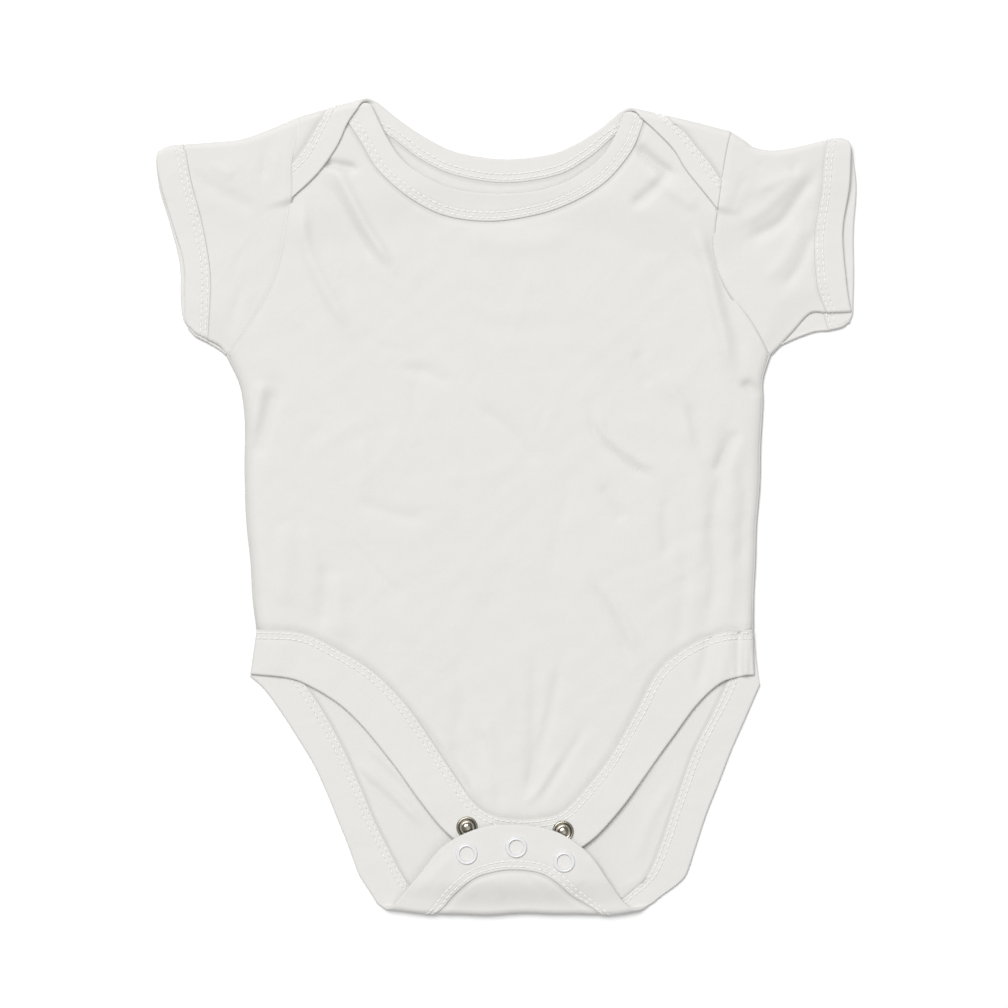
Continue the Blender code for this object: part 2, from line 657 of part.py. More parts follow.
def turned_part(name, profile, place, stuff, sides=20):
    """A round part: a closed profile of radius and height, turned about a standing axis."""
    outline = np.array(profile, float)
    angle = np.linspace(0, 2 * math.pi, sides, endpoint=False)[:, None]
    ring = np.stack(
        [
            place[0] + outline[:, 0] * np.cos(angle),
            place[1] + outline[:, 0] * np.sin(angle),
            place[2] + outline[:, 1] + 0 * angle,
        ],
        axis=-1,
    )
    count = len(outline)
    index = np.arange(sides * count).reshape(sides, count)
    after = np.roll(index, -1, axis=0)
    quads = np.stack([index, after, np.roll(after, -1, axis=1), np.roll(index, -1, axis=1)], axis=-1)
    made = add_object(name, ring.reshape(-1, 3), quads.reshape(-1, 4), stuff)
    merge_points(made.data)
    made.data.shade_smooth()
    made.data.set_sharp_from_angle(angle=math.radians(40))
    return made


# Outlines of the snap's parts. Columns: radius, height above the part's own base.
CAP_PROFILE = [(3.1, 0.0), (SNAP_RADIUS, 0.0), (SNAP_RADIUS, 0.35), (4.3, 0.7), (3.5, 0.7), (3.1, 0.35)]
SOCKET_PROFILE = [(2.2, 0.0), (4.2, 0.0), (4.5, 0.4), (4.5, 1.2), (2.2, 1.2)]
RING_PROFILE = [(3.1, 0.0), (SNAP_RADIUS, 0.0), (SNAP_RADIUS, 0.6), (3.1, 0.6)]
STUD_PROFILE = [
    (0.0, 0.0),
    (SNAP_RADIUS, 0.0),
    (SNAP_RADIUS, 0.5),
    (4.0, 0.75),
    (3.1, 0.35),
    (1.9, 0.4),
    (1.9, 1.4),
    (1.3, 1.8),
    (0.0, 1.8),
]


def snap(name, places):
    """A snap: its ring and socket through the flap, and its stud and ring through the front's binding."""
    flap_top, front_top = 2 * CROTCH_RADIUS + FLAP_RISE, FRONT["crotch"]
    heights = {
        "cap": flap_top + LAYER_GAP,
        "socket": flap_top - RIB - LAYER_GAP - SOCKET_PROFILE[-1][1],
        "stud": front_top + LAYER_GAP,
        "ring": front_top - RIB - LAYER_GAP - RING_PROFILE[-1][1],
    }
    cap, stud = places["cap"], places["stud"]
    turned_part(f"snap_cap_{name}", CAP_PROFILE, (*cap, heights["cap"]), "cap")
    turned_part(f"snap_socket_{name}", SOCKET_PROFILE, (*cap, heights["socket"]), "steel")
    turned_part(f"snap_stud_{name}", STUD_PROFILE, (*stud, heights["stud"]), "steel")
    turned_part(f"snap_ring_{name}", RING_PROFILE, (*stud, heights["ring"]), "cap")


def main():
    for old in list(bpy.data.objects):
        bpy.data.objects.remove(old)
    back_panel()
    front_panel()
    for layer in ("back", "front"):
        neck_binding(layer)
    back_leg_binding()
    front_leg_binding()
    for side in SHOULDERS:
        sleeve(side)
        cuff(side)
    for name, places in SNAPS.items():
        snap(name, places)


main()
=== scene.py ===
import math

import bmesh
import bpy
import numpy as np
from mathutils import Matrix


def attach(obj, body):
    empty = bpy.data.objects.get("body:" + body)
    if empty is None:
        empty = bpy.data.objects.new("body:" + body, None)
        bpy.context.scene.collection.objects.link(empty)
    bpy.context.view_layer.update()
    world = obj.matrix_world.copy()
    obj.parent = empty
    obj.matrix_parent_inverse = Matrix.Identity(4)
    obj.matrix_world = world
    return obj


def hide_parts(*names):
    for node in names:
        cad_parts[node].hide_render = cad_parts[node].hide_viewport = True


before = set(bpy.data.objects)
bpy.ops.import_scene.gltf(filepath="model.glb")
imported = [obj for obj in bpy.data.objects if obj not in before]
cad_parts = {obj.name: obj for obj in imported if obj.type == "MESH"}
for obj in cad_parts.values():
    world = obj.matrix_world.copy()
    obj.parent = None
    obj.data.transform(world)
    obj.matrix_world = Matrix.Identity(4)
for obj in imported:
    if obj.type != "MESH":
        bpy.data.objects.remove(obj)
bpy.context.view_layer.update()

# A baby bodysuit laid flat on its back. Shapes are worked out in millimetres, with X to the
# wearer's left, Y to the neck and Z up, and become metres where they go into a mesh.
mm = 0.001
rng = np.random.default_rng(11)
scene = bpy.context.scene

cloth = {
    "jersey": 1.0,  # wall of the panels and sleeves
    "rib": 1.4,  # folded binding
    "layerGap": 0.3,  # between layers that lie on each other
    "tuck": 1.1,  # how far a panel runs under its binding
    "shoulderRadius": 3.25,  # outside face of the back round a shoulder fold
    "crotchRadius": 2.4,
    "cuffRadius": 2.4,
}
cloth["innerRadius"] = cloth["shoulderRadius"] - cloth["rib"] - cloth["layerGap"]


def smooth(t):  # 3t^2 - 2t^3, held level outside 0 to 1
    t = np.clip(t, 0.0, 1.0)
    return t * t * (3 - 2 * t)


def between(first, last, shares):  # first (1 - s) + last s for each share s, as rows
    shares = np.asarray(shares).reshape(-1, *[1] * np.ndim(first))
    return np.asarray(first) * (1 - shares) + np.asarray(last) * shares


def even(steps):  # 0, 1/steps, 2/steps, ... 1
    return np.linspace(0, 1, steps + 1)


def unit(rows):  # each row over its length
    return rows / np.linalg.norm(rows, axis=-1, keepdims=True)


def travelled(line):  # running sum of the distances between a line's points, from 0
    return np.concatenate([[0], np.cumsum(np.linalg.norm(np.diff(line, axis=0), axis=1))])


def joined(*lines):  # end to end, dropping each repeated first point
    return np.vstack([lines[0], *[line[1:] for line in lines[1:]]])


def curve(landmarks, steps):
    # a Catmull-Rom spline through the rows, read at steps + 1 places evenly along its length
    rows = np.array(landmarks, float)
    rows = np.vstack([2 * rows[0] - rows[1], rows, 2 * rows[-1] - rows[-2]])
    t = np.linspace(0, 1, 40, endpoint=False)[:, None]
    fine = [
        (2 * b + (c - a) * t + (2 * a - 5 * b + 4 * c - d) * t**2 + (3 * b - a - 3 * c + d) * t**3) / 2
        for a, b, c, d in zip(rows, rows[1:], rows[2:], rows[3:])
    ]
    fine = np.vstack(fine + [rows[-2:-1]])
    run = travelled(fine)
    stations = np.linspace(0, run[-1], steps + 1)
    return np.column_stack([np.interp(stations, run, column) for column in fine.T])


def coons(bottom, top, left, right):
    # the sum of the two ruled surfaces between facing lines, less the bilinear one through the corners
    u = even(len(bottom) - 1)[None, :, None]
    v = even(len(left) - 1)[:, None, None]
    near = (1 - u) * bottom[0] + u * bottom[-1]
    far = (1 - u) * top[0] + u * top[-1]
    return (1 - v) * (bottom - near) + v * (top - far) + (1 - u) * left[:, None] + u * right[:, None]


def relaxed(grid, times=160):  # each inner point moves to the mean of its four neighbours, again and again
    grid = grid.copy()
    for _ in range(times):
        grid[1:-1, 1:-1] = (grid[2:, 1:-1] + grid[:-2, 1:-1] + grid[1:-1, 2:] + grid[1:-1, :-2]) / 4
    return grid


def lifted(points, height):  # (x, y, z), where z is a number or a function of x and y
    z = height(points[..., 0], points[..., 1]) if callable(height) else height
    return np.concatenate([points, np.broadcast_to(z, points.shape[:-1])[..., None]], axis=-1)


def nearest(x, y, line):
    # distance in plan to a polyline's nearest segment, and the share of its length before that place
    x, y, line = np.asarray(x, float), np.asarray(y, float), line[:, :2]
    run = travelled(line)
    best, share = np.full(x.shape, 1e9), np.zeros(x.shape)
    for a, b, start, end in zip(line, line[1:], run, run[1:]):
        dx, dy = b - a
        t = np.clip(((x - a[0]) * dx + (y - a[1]) * dy) / max(dx * dx + dy * dy, 1e-9), 0, 1)
        gap = np.hypot(x - a[0] - t * dx, y - a[1] - t * dy)
        share = np.where(gap < best, (start + t * (end - start)) / run[-1], share)
        best = np.minimum(best, gap)
    return best, share


def normalsOf(grid):  # unit cross product of the column and row directions
    normal = np.cross(np.gradient(grid, axis=1), np.gradient(grid, axis=0))
    return normal / np.maximum(np.linalg.norm(normal, axis=-1, keepdims=True), 1e-9)


class Fold:  # a straight fold, its line in plan and the radius of the outermost face round it
    def __init__(self, line, radius, inward):
        self.start, end = np.array(line, float)
        self.along = unit(end - self.start)
        self.inward = np.array([-self.along[1], self.along[0]])
        self.inward *= np.sign(self.inward[1] * inward)
        self.radius = radius

    def at(self, along, depth):  # start + along times the fold's direction + depth times the inward one
        along, depth = np.broadcast_arrays(along, depth)
        return self.start + along[..., None] * self.along + depth[..., None] * self.inward

    def depth(self, x, y):  # (point - start) . inward
        return (x - self.start[0]) * self.inward[0] + (y - self.start[1]) * self.inward[1]

    def turn(self, first, last, radius, upward=True, steps=18):
        # half circles of that radius about the fold's axis, going along it evenly from first to last
        angle = np.pi * (even(steps) if upward else even(steps)[::-1])[:, None]
        rows = self.at(between(first, last, even(steps)), self.radius - radius * np.sin(angle))
        return np.dstack([rows, np.broadcast_to(self.radius - radius * np.cos(angle), rows.shape[:2])])


# landmarks in mm, right and left being the wearer's
bodySides = [  # y, then x at the right and the left side seam
    (-54, -108.3, 107.9), (-36.5, -110.3, 108.3), (-17, -112, 109.2), (7, -113.1, 110.1),
    (28.7, -113.1, 111.1), (46.1, -114.2, 112.2), (54.8, -115.9, 112.3), (65.2, -121.1, 115.1),
]

armholes = {  # x, y from the underarm to the shoulder
    "right": [(-121.1, 65.2), (-112.2, 77.9), (-103.1, 94.4), (-96.8, 113.5), (-94.2, 130), (-93.7, 148)],
    "left": [(115.1, 65.2), (107.1, 80.5), (97, 95.3), (92, 109.2), (91.6, 124), (94.6, 143)],
}

shoulders = {
    "right": Fold(((-88.5, 169.4), (-60.2, 177)), cloth["shoulderRadius"], -1),
    "left": Fold(((97.7, 162.7), (52.9, 173.8)), cloth["shoulderRadius"], -1),
}
crotchFold = Fold(((0, -177.3), (1, -177.3)), cloth["crotchRadius"], 1)

turns = {  # distances along a shoulder fold where it starts and ends its turn
    ("back", "right"): {"seam": (16.5, 8.2), "edge": (34, 24.8), "armhole": (-1.7, -1.7)},
    ("back", "left"): {"seam": (38, 24.5), "edge": (49, 39.8), "armhole": (-0.3, -0.3)},
    ("front", "right"): {"seam": (17, 12.5), "edge": (30.7, 26.5), "armhole": (-1.7, -1.7)},
    ("front", "left"): {"seam": (37.5, 32.5), "edge": (47, 42), "armhole": (-0.3, -0.3)},
}
crotchTurn = {"seam": ((-35, 45.5), (-27.5, 38.8)), "edge": ((-56, 65), (-48.5, 54))}

neckSections = {  # seam x, y and edge x, y from the right shoulder to the left
    "back": [
        (-52, 161.5, -44.5, 166.8), (-37.2, 150.9, -32.4, 159.2), (-22, 143.8, -19.8, 153.6),
        (-0.2, 140.1, -0.2, 150.5), (22, 143.6, 18.5, 152.5), (36.8, 151.8, 30.7, 157.5),
        (48.5, 161.8, 41.5, 164.5),
    ],
    "front": [
        (-62.9, 157.5, -52, 161.4), (-55.5, 145.3, -45, 150.9), (-42.4, 134, -35.5, 143.8),
        (-25.9, 126.2, -22, 137.9), (-5.4, 123.5, -4.6, 135.7), (15, 126.6, 12, 136.6),
        (30.2, 132.7, 24.6, 140.5), (42.4, 140.5, 35, 146.6), (50.7, 148.8, 42.8, 153.4),
        (56.4, 157, 47.6, 161.2),
    ],
}

lapSections = {  # along and down from the shoulder fold: seam, then edge, out to the armhole
    "right": [(5, 6, 18.5, 8.6), (-0.5, 11.3, 11, 17.4), (-5, 15.2, 0, 26), (-9.4, 18.6, -13.6, 33.2)],
    "left": [
        (18.5, 5.6, 30.5, 8.4), (11, 11.2, 21.5, 14.3), (4.8, 15.8, 13.5, 22.5), (-1, 21.7, -2.4, 34.6),
    ],
}

frontLegSections = [  # seam x, y and edge x, y from the right side seam round the crotch
    (-108.1, -53.5, -110.7, -73.1), (-89.4, -54.6, -94, -74.9), (-74.9, -60.8, -84, -78.9),
    (-57.6, -71.3, -72, -86.5), (-43.8, -85.4, -60.3, -97.6), (-31.4, -102.1, -49.4, -110.9),
    (-20.7, -118.6, -37.6, -127.7), (-13.2, -128.9, -25.6, -142.4), (-5.4, -134, -12, -152.2),
    (4.1, -135.8, 4.1, -155.7), (15.2, -135.3, 20.2, -154), (24.6, -132.4, 35.7, -146.3),
    (35.3, -121.4, 49.1, -133), (45.9, -107.6, 61.2, -116.4), (56.6, -88.4, 72.4, -100.8),
    (66.7, -71.4, 82.4, -87.2), (79.2, -60.8, 93, -77.6), (93.6, -54.7, 102, -74.2),
    (107.7, -53.5, 108.6, -73.4),
]

backLegSections = {  # from each side seam to the crotch fold
    "right": [
        (-108.3, -54, -111.1, -74), (-90.7, -72.2, -103.3, -81.8), (-72, -100.9, -85.9, -107),
        (-63, -121.2, -78.5, -122.7), (-55.4, -139.8, -71.1, -141.4), (-46.2, -158, -64.2, -159.6),
        (-35, -174.9, -56, -174.9),
    ],
    "left": [
        (107.9, -54, 110.9, -77.9), (91.1, -87, 105.5, -89.2), (80.7, -107.9, 97.2, -108.3),
        (73.3, -129.2, 89.4, -128.8), (66.8, -147, 82.4, -147.9), (58.9, -164, 75.9, -165.7),
        (45.5, -174.9, 65, -174.9),
    ],
}

flapSections = [  # round the crotch flap, right to left
    (-26, -173.6, -44.5, -169.5), (-21, -167.9, -37.2, -159.2), (-14, -162, -27.6, -147.5),
    (-6.5, -159.2, -12.8, -140.1), (3, -158, 1.1, -138.1), (14, -159.3, 20.7, -140.9),
    (21.5, -163.2, 35, -150.1), (28.8, -169.4, 43.7, -161.4), (36.5, -173.7, 51, -171.5),
]

sleeves = {
    "right": {
        "top": [(-102.4, 164), (-115.1, 159.6), (-131.6, 157.6), (-140.3, 157)],
        "cuffSeam": [
            (-129.8, 72), (-129, 87.4), (-129.2, 100.5), (-131.6, 120.9), (-136.6, 139.2), (-140.3, 157),
        ],
        "under": [(-121.1, 65.2), (-124.6, 69.4), (-129.8, 72)],
        "underBack": [(-121.1, 65.2), (-125, 68.2), (-130, 71)],
        "edge": [
            (-139.6, 76.6), (-139.7, 89.6), (-140.5, 106.1), (-144.4, 122.2), (-149.4, 137.5),
            (-152.5, 155.4),
        ],
        "edgeBack": [
            (-139.8, 75.6), (-141.4, 89.6), (-142.3, 106.1), (-145.6, 122.2), (-150.4, 137.5),
            (-152.5, 155.4),
        ],
    },
    "left": {
        "top": [(104.2, 158.8), (108.6, 155.9), (117.2, 154.9), (128.1, 156.6), (139.9, 159.4)],
        "cuffSeam": [
            (140.5, 83.5), (136.4, 95.3), (134.8, 110), (135.2, 122), (137.4, 138), (139.9, 159.4),
        ],
        "under": [(115.1, 65.2), (124.6, 75.3), (132.9, 83.6), (140.5, 83.5)],
        "underBack": [(115.1, 65.2), (119.8, 69.8), (132.9, 75.2), (140.7, 76.1)],
        "edge": [(150.9, 83.9), (148.9, 95.3), (147, 111.4), (147, 123.5), (149.6, 141), (150.4, 160.6)],
        "edgeBack": [
            (151.4, 78.3), (151.9, 95.3), (151.5, 111.4), (151.6, 123.5), (152.4, 141), (150.4, 160.6),
        ],
    },
}

# creases: x, y of each point of the line, then half width and height over the cloth (below 0 in a trough)
bodyCreases = [
    (-100, 53, -104, 38, -109, 20, 3.5, -0.55), (-105, 55, -111, 30, 3, 0.5),
    (-45, 60, -33, 58, -23, 53, 2.6, -0.22), (-13, 44, 2, 33, 15, 17, 2.6, -0.25),
    (-63, 30, -60, 9, 3, 0.18), (-65, 3, -50, -3, -33, -6, 3, -0.2),
    (37, 41, 40, 30, 52, 19, 64, 12, 1.8, -0.45), (39, 42, 43, 31, 54, 22, 65, 15, 1.8, 0.35),
    (41, 10, 46, 2, 52, -7, 2.4, -0.35), (37, -33, 47, -50, 55, -67, 2, -0.4),
    (40, -31, 50, -48, 58, -64, 2.2, 0.3), (57, 68, 63, 51, 2.4, -0.3), (80, 47, 84, 30, 89, 12, 2.6, -0.4),
    (98, 42, 93, 16, 90, -10, 91, -30, 87, -58, 2.4, -0.42),
    (90, 34, 84, 10, 85, -10, 81, -30, 80, -58, 3.6, 0.24),
    (104, 38, 98, 14, 97, -12, 98, -30, 95, -58, 3, 0.28), (101, 34, 95, 22, 89, 13, 2.2, -0.5),
    (103, 54, 111, 49, 2.2, -0.9), (-79, -24, -80, -53, 3.4, -0.35), (-72, -28, -73, -58, 3.6, 0.3),
    (69, 5, 70, -24, 2.6, -0.3), (13, -62, 12, -95, 10, -129, 2.6, -0.35),
    (25, -66, 17, -98, 8, -129, 2.4, -0.35), (-23, -102, -16, -126, 2.6, -0.35),
    (-8, -90, -5, -128, 3, 0.3), (-76, 150, -72, 142, -61, 122, -49, 103, 2.6, 0.75),
    (-80, 143, -66, 120, -57, 104, 2.2, -0.4), (-88, 134, -87, 114, -80, 97, -68, 76, 3, 0.6),
    (-80, 149, -64, 146, 1.8, -1), (81, 124, 88, 104, 92, 86, 98, 56, 3, 0.75),
    (88, 122, 96, 92, 104, 62, 2.6, -0.4), (56, 157, 64, 150, 73, 143, 1.9, -1),
    (71, 144, 63, 137, 54, 130, 2.6, -0.6), (60, 146, 72, 137, 84, 128, 3, 0.5),
    (-20, 118, 5, 114, 30, 119, 5, 0.25), (-95, -5, -97, -45, 4, 0.3),
    (80, -18, 78, -40, 74, -62, 3.4, -0.3), (24, -108, 15, -122, 7, -131, 1.8, 0.25),
    (35, -96, 24, -114, 14, -130, 2, -0.25), (-12, -96, -6, -114, -2, -131, 2, -0.25),
    (-32, -96, -20, -112, -10, -128, 2, 0.25), (-88, -8, -84, -24, -80, -40, 3, 0.25),
    (-52, -40, -34, -62, -24, -90, 5, 0.2), (-20, 84, 6, 76, 30, 82, 5, -0.15),
    (100, 20, 104, 2, 102, -28, 2.4, -0.35), (68, 60, 76, 44, 80, 24, 3, 0.3),
]
bandCreases = [
    (104.6, -49, 104.8, -62, 105, -77, 1.3, 1.1), (101.6, -49, 101.9, -62, 102.2, -77, 1.4, -1.3),
    (91, -48, 88, -64, 84, -80, 2.4, -0.8), (97, -48, 96, -64, 93, -80, 2.4, 0.6),
    (-98, -58, -99, -73, 3, 0.3), (-88, -58, -92, -74, 3, -0.2),
]
sleeveCreases = {
    "right": [
        (-104, 162, -105, 141, 2.4, -0.7), (-99, 158, -100, 138, 2.6, 0.4),
        (-139, 145, -123, 136, -107, 128, 3.2, -0.5), (-129, 150, -118, 143, 2.6, 0.5),
        (-115, 96, -119, 74, 2.6, -0.45), (-110, 96, -114, 76, 2.6, 0.3),
    ],
    "left": [
        (112, 155, 110, 146, 2, -0.7), (108, 138, 117, 141, 126, 146, 2.6, 0.7),
        (126, 155, 125, 144, 2, -0.6), (136, 146, 127, 134, 119, 123, 104, 115, 2.8, -1.2),
        (131, 148, 122, 139, 112, 129, 101, 122, 3, 0.8), (135, 121, 129, 106, 121, 94, 2.6, -0.9),
        (129, 124, 123, 110, 114, 98, 3, 0.7), (104, 144, 96, 127, 2.2, -0.5),
    ],
}
backCreases = [
    (-64, -112, -50, -124, -36, -138, 1.9, 1.1), (-60, -104, -50, -113, -42, -122, 1.6, 0.7),
    (66, -108, 54, -122, 41, -136, 2.4, 0.9), (-88, -84, -78, -100, -70, -108, 2, 0.5),
    (74, -118, 62, -138, 56, -156, 2.6, 0.5), (-60, -166, -46, -166, 1.8, 0.5),
    (49, -166, 62, -163, 74, -163, 1.8, 0.6),
]
flapCreases = [
    (-7, -176, -2, -168, -7, -158, 1.8, 0.5), (12, -176, 15, -168, 8, -159, 1.8, -0.35),
    (-20, -176, -13, -166, 1.8, 0.35), (24, -175, 19, -165, 1.8, 0.3),
    (-42, -171, -31, -160, -22, -150, 2.4, 0.35), (50, -170, 42, -160, 33, -152, 2.4, 0.4),
    (-30, -172, -22, -160, 2.2, -0.35), (40, -173, 32, -163, 2.2, -0.35),
]
crumple = {"turn": 0.35, "reach": (9, 25), "bend": 4, "width": (1.6, 3.4)}
crumple["heights"] = (-0.11, -0.07, 0.08, 0.06)


def scattered(count, box, upright):
    # short random creases: x, y -+ reach times a random way, near upright where y is below the given one
    rows = []
    for _ in range(count):
        x, y = rng.uniform(box[0], box[2]), rng.uniform(box[1], box[3])
        angle = rng.normal(math.pi / 2, crumple["turn"]) if y < upright else rng.uniform(0, math.pi)
        reach = rng.uniform(*crumple["reach"])
        bend = rng.normal(0, crumple["bend"])
        way = np.array([math.cos(angle), math.sin(angle)])
        middle = (x - bend * way[1], y + bend * way[0])
        ends = np.array([x, y]) + np.array([[-1], [1]]) * reach * way
        shape = rng.uniform(*crumple["width"]), rng.choice(crumple["heights"])
        rows.append((*ends[0], *middle, *ends[1], *shape))
    return rows


def creased(x, y, rows):
    # the sum over rows of height times exp(-(gap / width)^2), faded over the line's first and last fifth
    total = np.zeros(np.shape(x))
    for *line, width, height in rows:
        gap, share = nearest(x, y, curve(np.reshape(line, (-1, 2)), 14))
        fade = smooth(share * 5) * smooth((1 - share) * 5)
        total += height * np.exp(-((gap / width) ** 2)) * (0.15 + 0.85 * fade)
    return total


bodyCreases += scattered(52, (-100, -120, 100, 120), -45)
sleeveCreases["right"] += scattered(7, (-138, 80, -104, 156), 0)
sleeveCreases["left"] += scattered(7, (104, 84, 136, 152), 0)

corners = [  # x, y of each cuff corner and how far its tip is rounded in
    (-152.5, 155.6, 1.5, -1.3), (-139.8, 76.0, 1.5, 1.2),
    (150.4, 160.6, -1.4, -1.5), (151.4, 78.3, -1.5, 1.3),
]


def warped(points):
    # sines of x and y move the outline by under a millimetre, and the crotch fold's ends turn up a little
    x, y = points[..., 0], points[..., 1]
    out = points.copy()
    out[..., 0] += 0.45 * np.sin(y / 13 + 0.4) * np.sin(y / 31 + x / 90) + 0.15 * np.sin(y / 5.1)
    for cornerX, cornerY, aimX, aimY in corners:
        near = np.exp(-((x - cornerX) ** 2 + (y - cornerY) ** 2) / 13)
        out[..., 0] += near * aimX
        out[..., 1] += near * aimY
    ends = np.clip((np.abs(x - 4.6) - 36) / 22, 0, 1.6) ** 2
    crotch = 1.9 * ends + 0.35 * np.sin(x / 9) + 0.2 * np.sin(x / 4.3)
    out[..., 1] += smooth((-158 - y) / 17) * crotch + 0.3 * np.sin(x / 12 + 1) * smooth((y - 60) / 60)
    return out


def ripples(x, y):  # two slow sines and two finer products of sines, so that no cloth is quite flat
    slow = 0.13 * np.sin(x / 17 + 1.3 * np.sin(y / 31)) + 0.10 * np.sin(y / 21 + 1.1 * np.sin(x / 27) + 1.7)
    fine = np.sin((x + 0.6 * y) / 3.1 + 2.2 * np.sin(y / 13 + x / 29))
    other = np.sin((x - 1.4 * y) / 4.3 + 2.5 * np.sin(x / 17 - y / 23))
    fine = fine * np.sin(y / 8.3 + 1.6 * np.sin(x / 9.7) + 0.6)
    other = other * np.sin(x / 10.9 - 1.9 * np.sin(y / 12.1))
    return slow + 0.045 * fine + 0.06 * other


sideSteps = {"body": 110, "armhole": 90}
sideLines = {
    side: curve([(row[column], row[0]) for row in bodySides], sideSteps["body"])
    for side, column in (("right", 1), ("left", 2))
}
front = {"loft": 3.2, "side": 2.3, "corner": 3.2, "crotch": 3.8}
front["shoulder"] = cloth["shoulderRadius"] + cloth["innerRadius"]
flapShape = {"middle": 4.6, "rise": 3.3}


def sideGap(x, y, every=6):  # distance in plan to the nearer side seam
    return np.minimum(*[nearest(x, y, line[::every])[0] for line in sideLines.values()])


def frontBase(x, y):
    # loft over the layers below, low at the side seams, and up to the folds at the shoulders
    inside = smooth(sideGap(x, y) / 10)
    corner = smooth((-y - 38) / 14)
    side = front["side"] * (1 - corner) + front["corner"] * corner
    height = side + (front["loft"] - side) * inside
    height = height + (front["crotch"] - front["loft"]) * smooth((-y - 105) / 25)
    for fold in shoulders.values():
        near = smooth((60 - fold.depth(x, y)) / 22)
        height = height + (front["shoulder"] - height) * near
    return height


def frontHeight(x, y):  # the base plus creases and ripples, which end at the side seams
    inside = smooth(sideGap(x, y) / 6)
    return frontBase(x, y) + (2.3 * creased(x, y, bodyCreases) + ripples(x, y)) * inside


def bandHeight(x, y):  # the base plus a third of the front's creases, half of its ripples and the tack
    gap = sideGap(x, y)
    folds = (0.7 * creased(x, y, bodyCreases) + 0.5 * ripples(x, y)) * smooth(gap / 6)
    return frontBase(x, y) + 0.15 + folds + creased(x, y, bandCreases) * smooth(gap / 1.5)


def lapHeight(x, y):  # a gap and a binding's thickness over the front
    return frontBase(x, y) + cloth["layerGap"] + cloth["rib"] + 0.4 * ripples(x + 40, y)


def backHeight(x, y):  # the surface, and above it the ridges only
    return np.maximum(creased(x, y, backCreases), 0)


def flapHeight(x, y):  # the fold's top, then a rise over the snaps, less of it beside them
    rise = smooth((crotchFold.depth(x, y) - cloth["crotchRadius"]) / 13)
    beside = 1 - 0.6 * smooth((np.abs(x - flapShape["middle"]) - 24) / 22)
    folds = 0.35 * ripples(x * 1.6, y * 1.6) + creased(x, y, flapCreases)
    return 2 * cloth["crotchRadius"] + (flapShape["rise"] * beside + folds) * rise


slotOf = {}


def darken(mesh, shade):  # painted shade: how far the colour of each point goes towards the darker, shaded one
    layer = mesh.attributes.new("shade", "FLOAT", "POINT")
    layer.data.foreach_set("value", np.clip(shade, 0, 1).astype(np.float32).ravel())


def shown(name, data):
    thing = bpy.data.objects.new(name, data)
    scene.collection.objects.link(thing)
    return thing


def addPiece(name, points, faces, slot, replaced, shade=None):
    mesh = bpy.data.meshes.new(name)
    mesh.from_pydata((np.asarray(points) * mm).tolist(), [], faces)
    if shade is not None:
        darken(mesh, shade)
    mesh.polygons.foreach_set("use_smooth", np.ones(len(mesh.polygons), bool))
    piece = shown(name, mesh)
    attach(piece, "root")
    "rib" if slot == "thread" else slot
    if replaced:
        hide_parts(*replaced)
    slotOf[name] = slot
    return piece


def mergePoints(mesh, gap=0.004):  # points nearer than the gap become one
    shell = bmesh.new()
    shell.from_mesh(mesh)
    bmesh.ops.remove_doubles(shell, verts=shell.verts, dist=gap * mm)
    bmesh.ops.dissolve_degenerate(shell, edges=shell.edges, dist=0.001 * mm)
    shell.to_mesh(mesh)
    shell.free()


def gridFaces(rows, columns, start=0, flip=False):  # a quad between each four neighbours of a grid
    index = start + np.arange(rows * columns).reshape(rows, columns)
    quads = np.stack([index[:-1, :-1], index[:-1, 1:], index[1:, 1:], index[1:, :-1]], axis=-1).reshape(-1, 4)
    return quads[:, ::-1] if flip else quads


def closeness(place, line, reach=3.0):  # 1 on a seam's line, falling to 0 at reach
    gap = np.full(len(place), 1e9)
    for group in np.array_split(np.arange(len(line)), max(1, len(line) // 40)):
        gap = np.minimum(gap, np.linalg.norm(place[:, None] - line[group][None], axis=2).min(axis=1))
    return 1 - smooth(gap / reach)


def panel(name, patches, outward, seams, sink, replaced, rim=None, holes=None, creases=(), seamShade=0.45):
    # patches that share edges, sunk along their normals near the seams, with the wall on the inside;
    # the painted shade is the larger of the seams' and the armholes', plus the troughs' and the sides'
    points, faces, count = [], [], 0
    for patch in patches:
        faces.append(gridFaces(*patch.shape[:2], start=count, flip=outward < 0))
        points.append(patch.reshape(-1, 3))
        count += patch.shape[0] * patch.shape[1]
    piece = addPiece(name, np.vstack(points), np.vstack(faces).tolist(), "jersey", replaced)
    mesh = piece.data
    mergePoints(mesh)
    place = np.empty(len(mesh.vertices) * 3)
    normal = np.empty(len(mesh.vertices) * 3)
    mesh.vertices.foreach_get("co", place)
    mesh.vertex_normals.foreach_get("vector", normal)
    place = place.reshape(-1, 3) / mm
    # painted shade: the colour darkens along the seams and armholes, in the troughs and at the rounded sides,
    # where shadow falls
    paintedShade = np.max([closeness(place, line, 1.8) for line in seams], axis=0) * seamShade
    if holes is not None:
        paintedShade = np.maximum(paintedShade, closeness(place, holes, 1.6) * 0.22)
    paintedShade += 0.3 * np.clip(-creased(place[:, 0], place[:, 1], creases) - 0.15, 0, 1)
    darken(mesh, paintedShade + 0.32 * (1 - smooth(sideGap(place[:, 0], place[:, 1]) / 5)))
    if sink:
        near = np.max([closeness(place, line) for line in seams], axis=0)
        place -= normal.reshape(-1, 3) * sink(place, near)[:, None]
    if rim:
        place = rim(place)
    mesh.vertices.foreach_set("co", (warped(place) * mm).ravel())
    wall = piece.modifiers.new("Wall", "SOLIDIFY")
    wall.thickness = cloth["jersey"] * mm
    wall.offset = -1
    return piece


stitch = {"rows": (1.6, 3.9), "length": 2.5, "pitch": 2.6, "radius": 0.32, "proud": 0.12, "dip": 0.22}
stitchSpots = []  # centre, direction and normal of each, gathered as the bindings are made


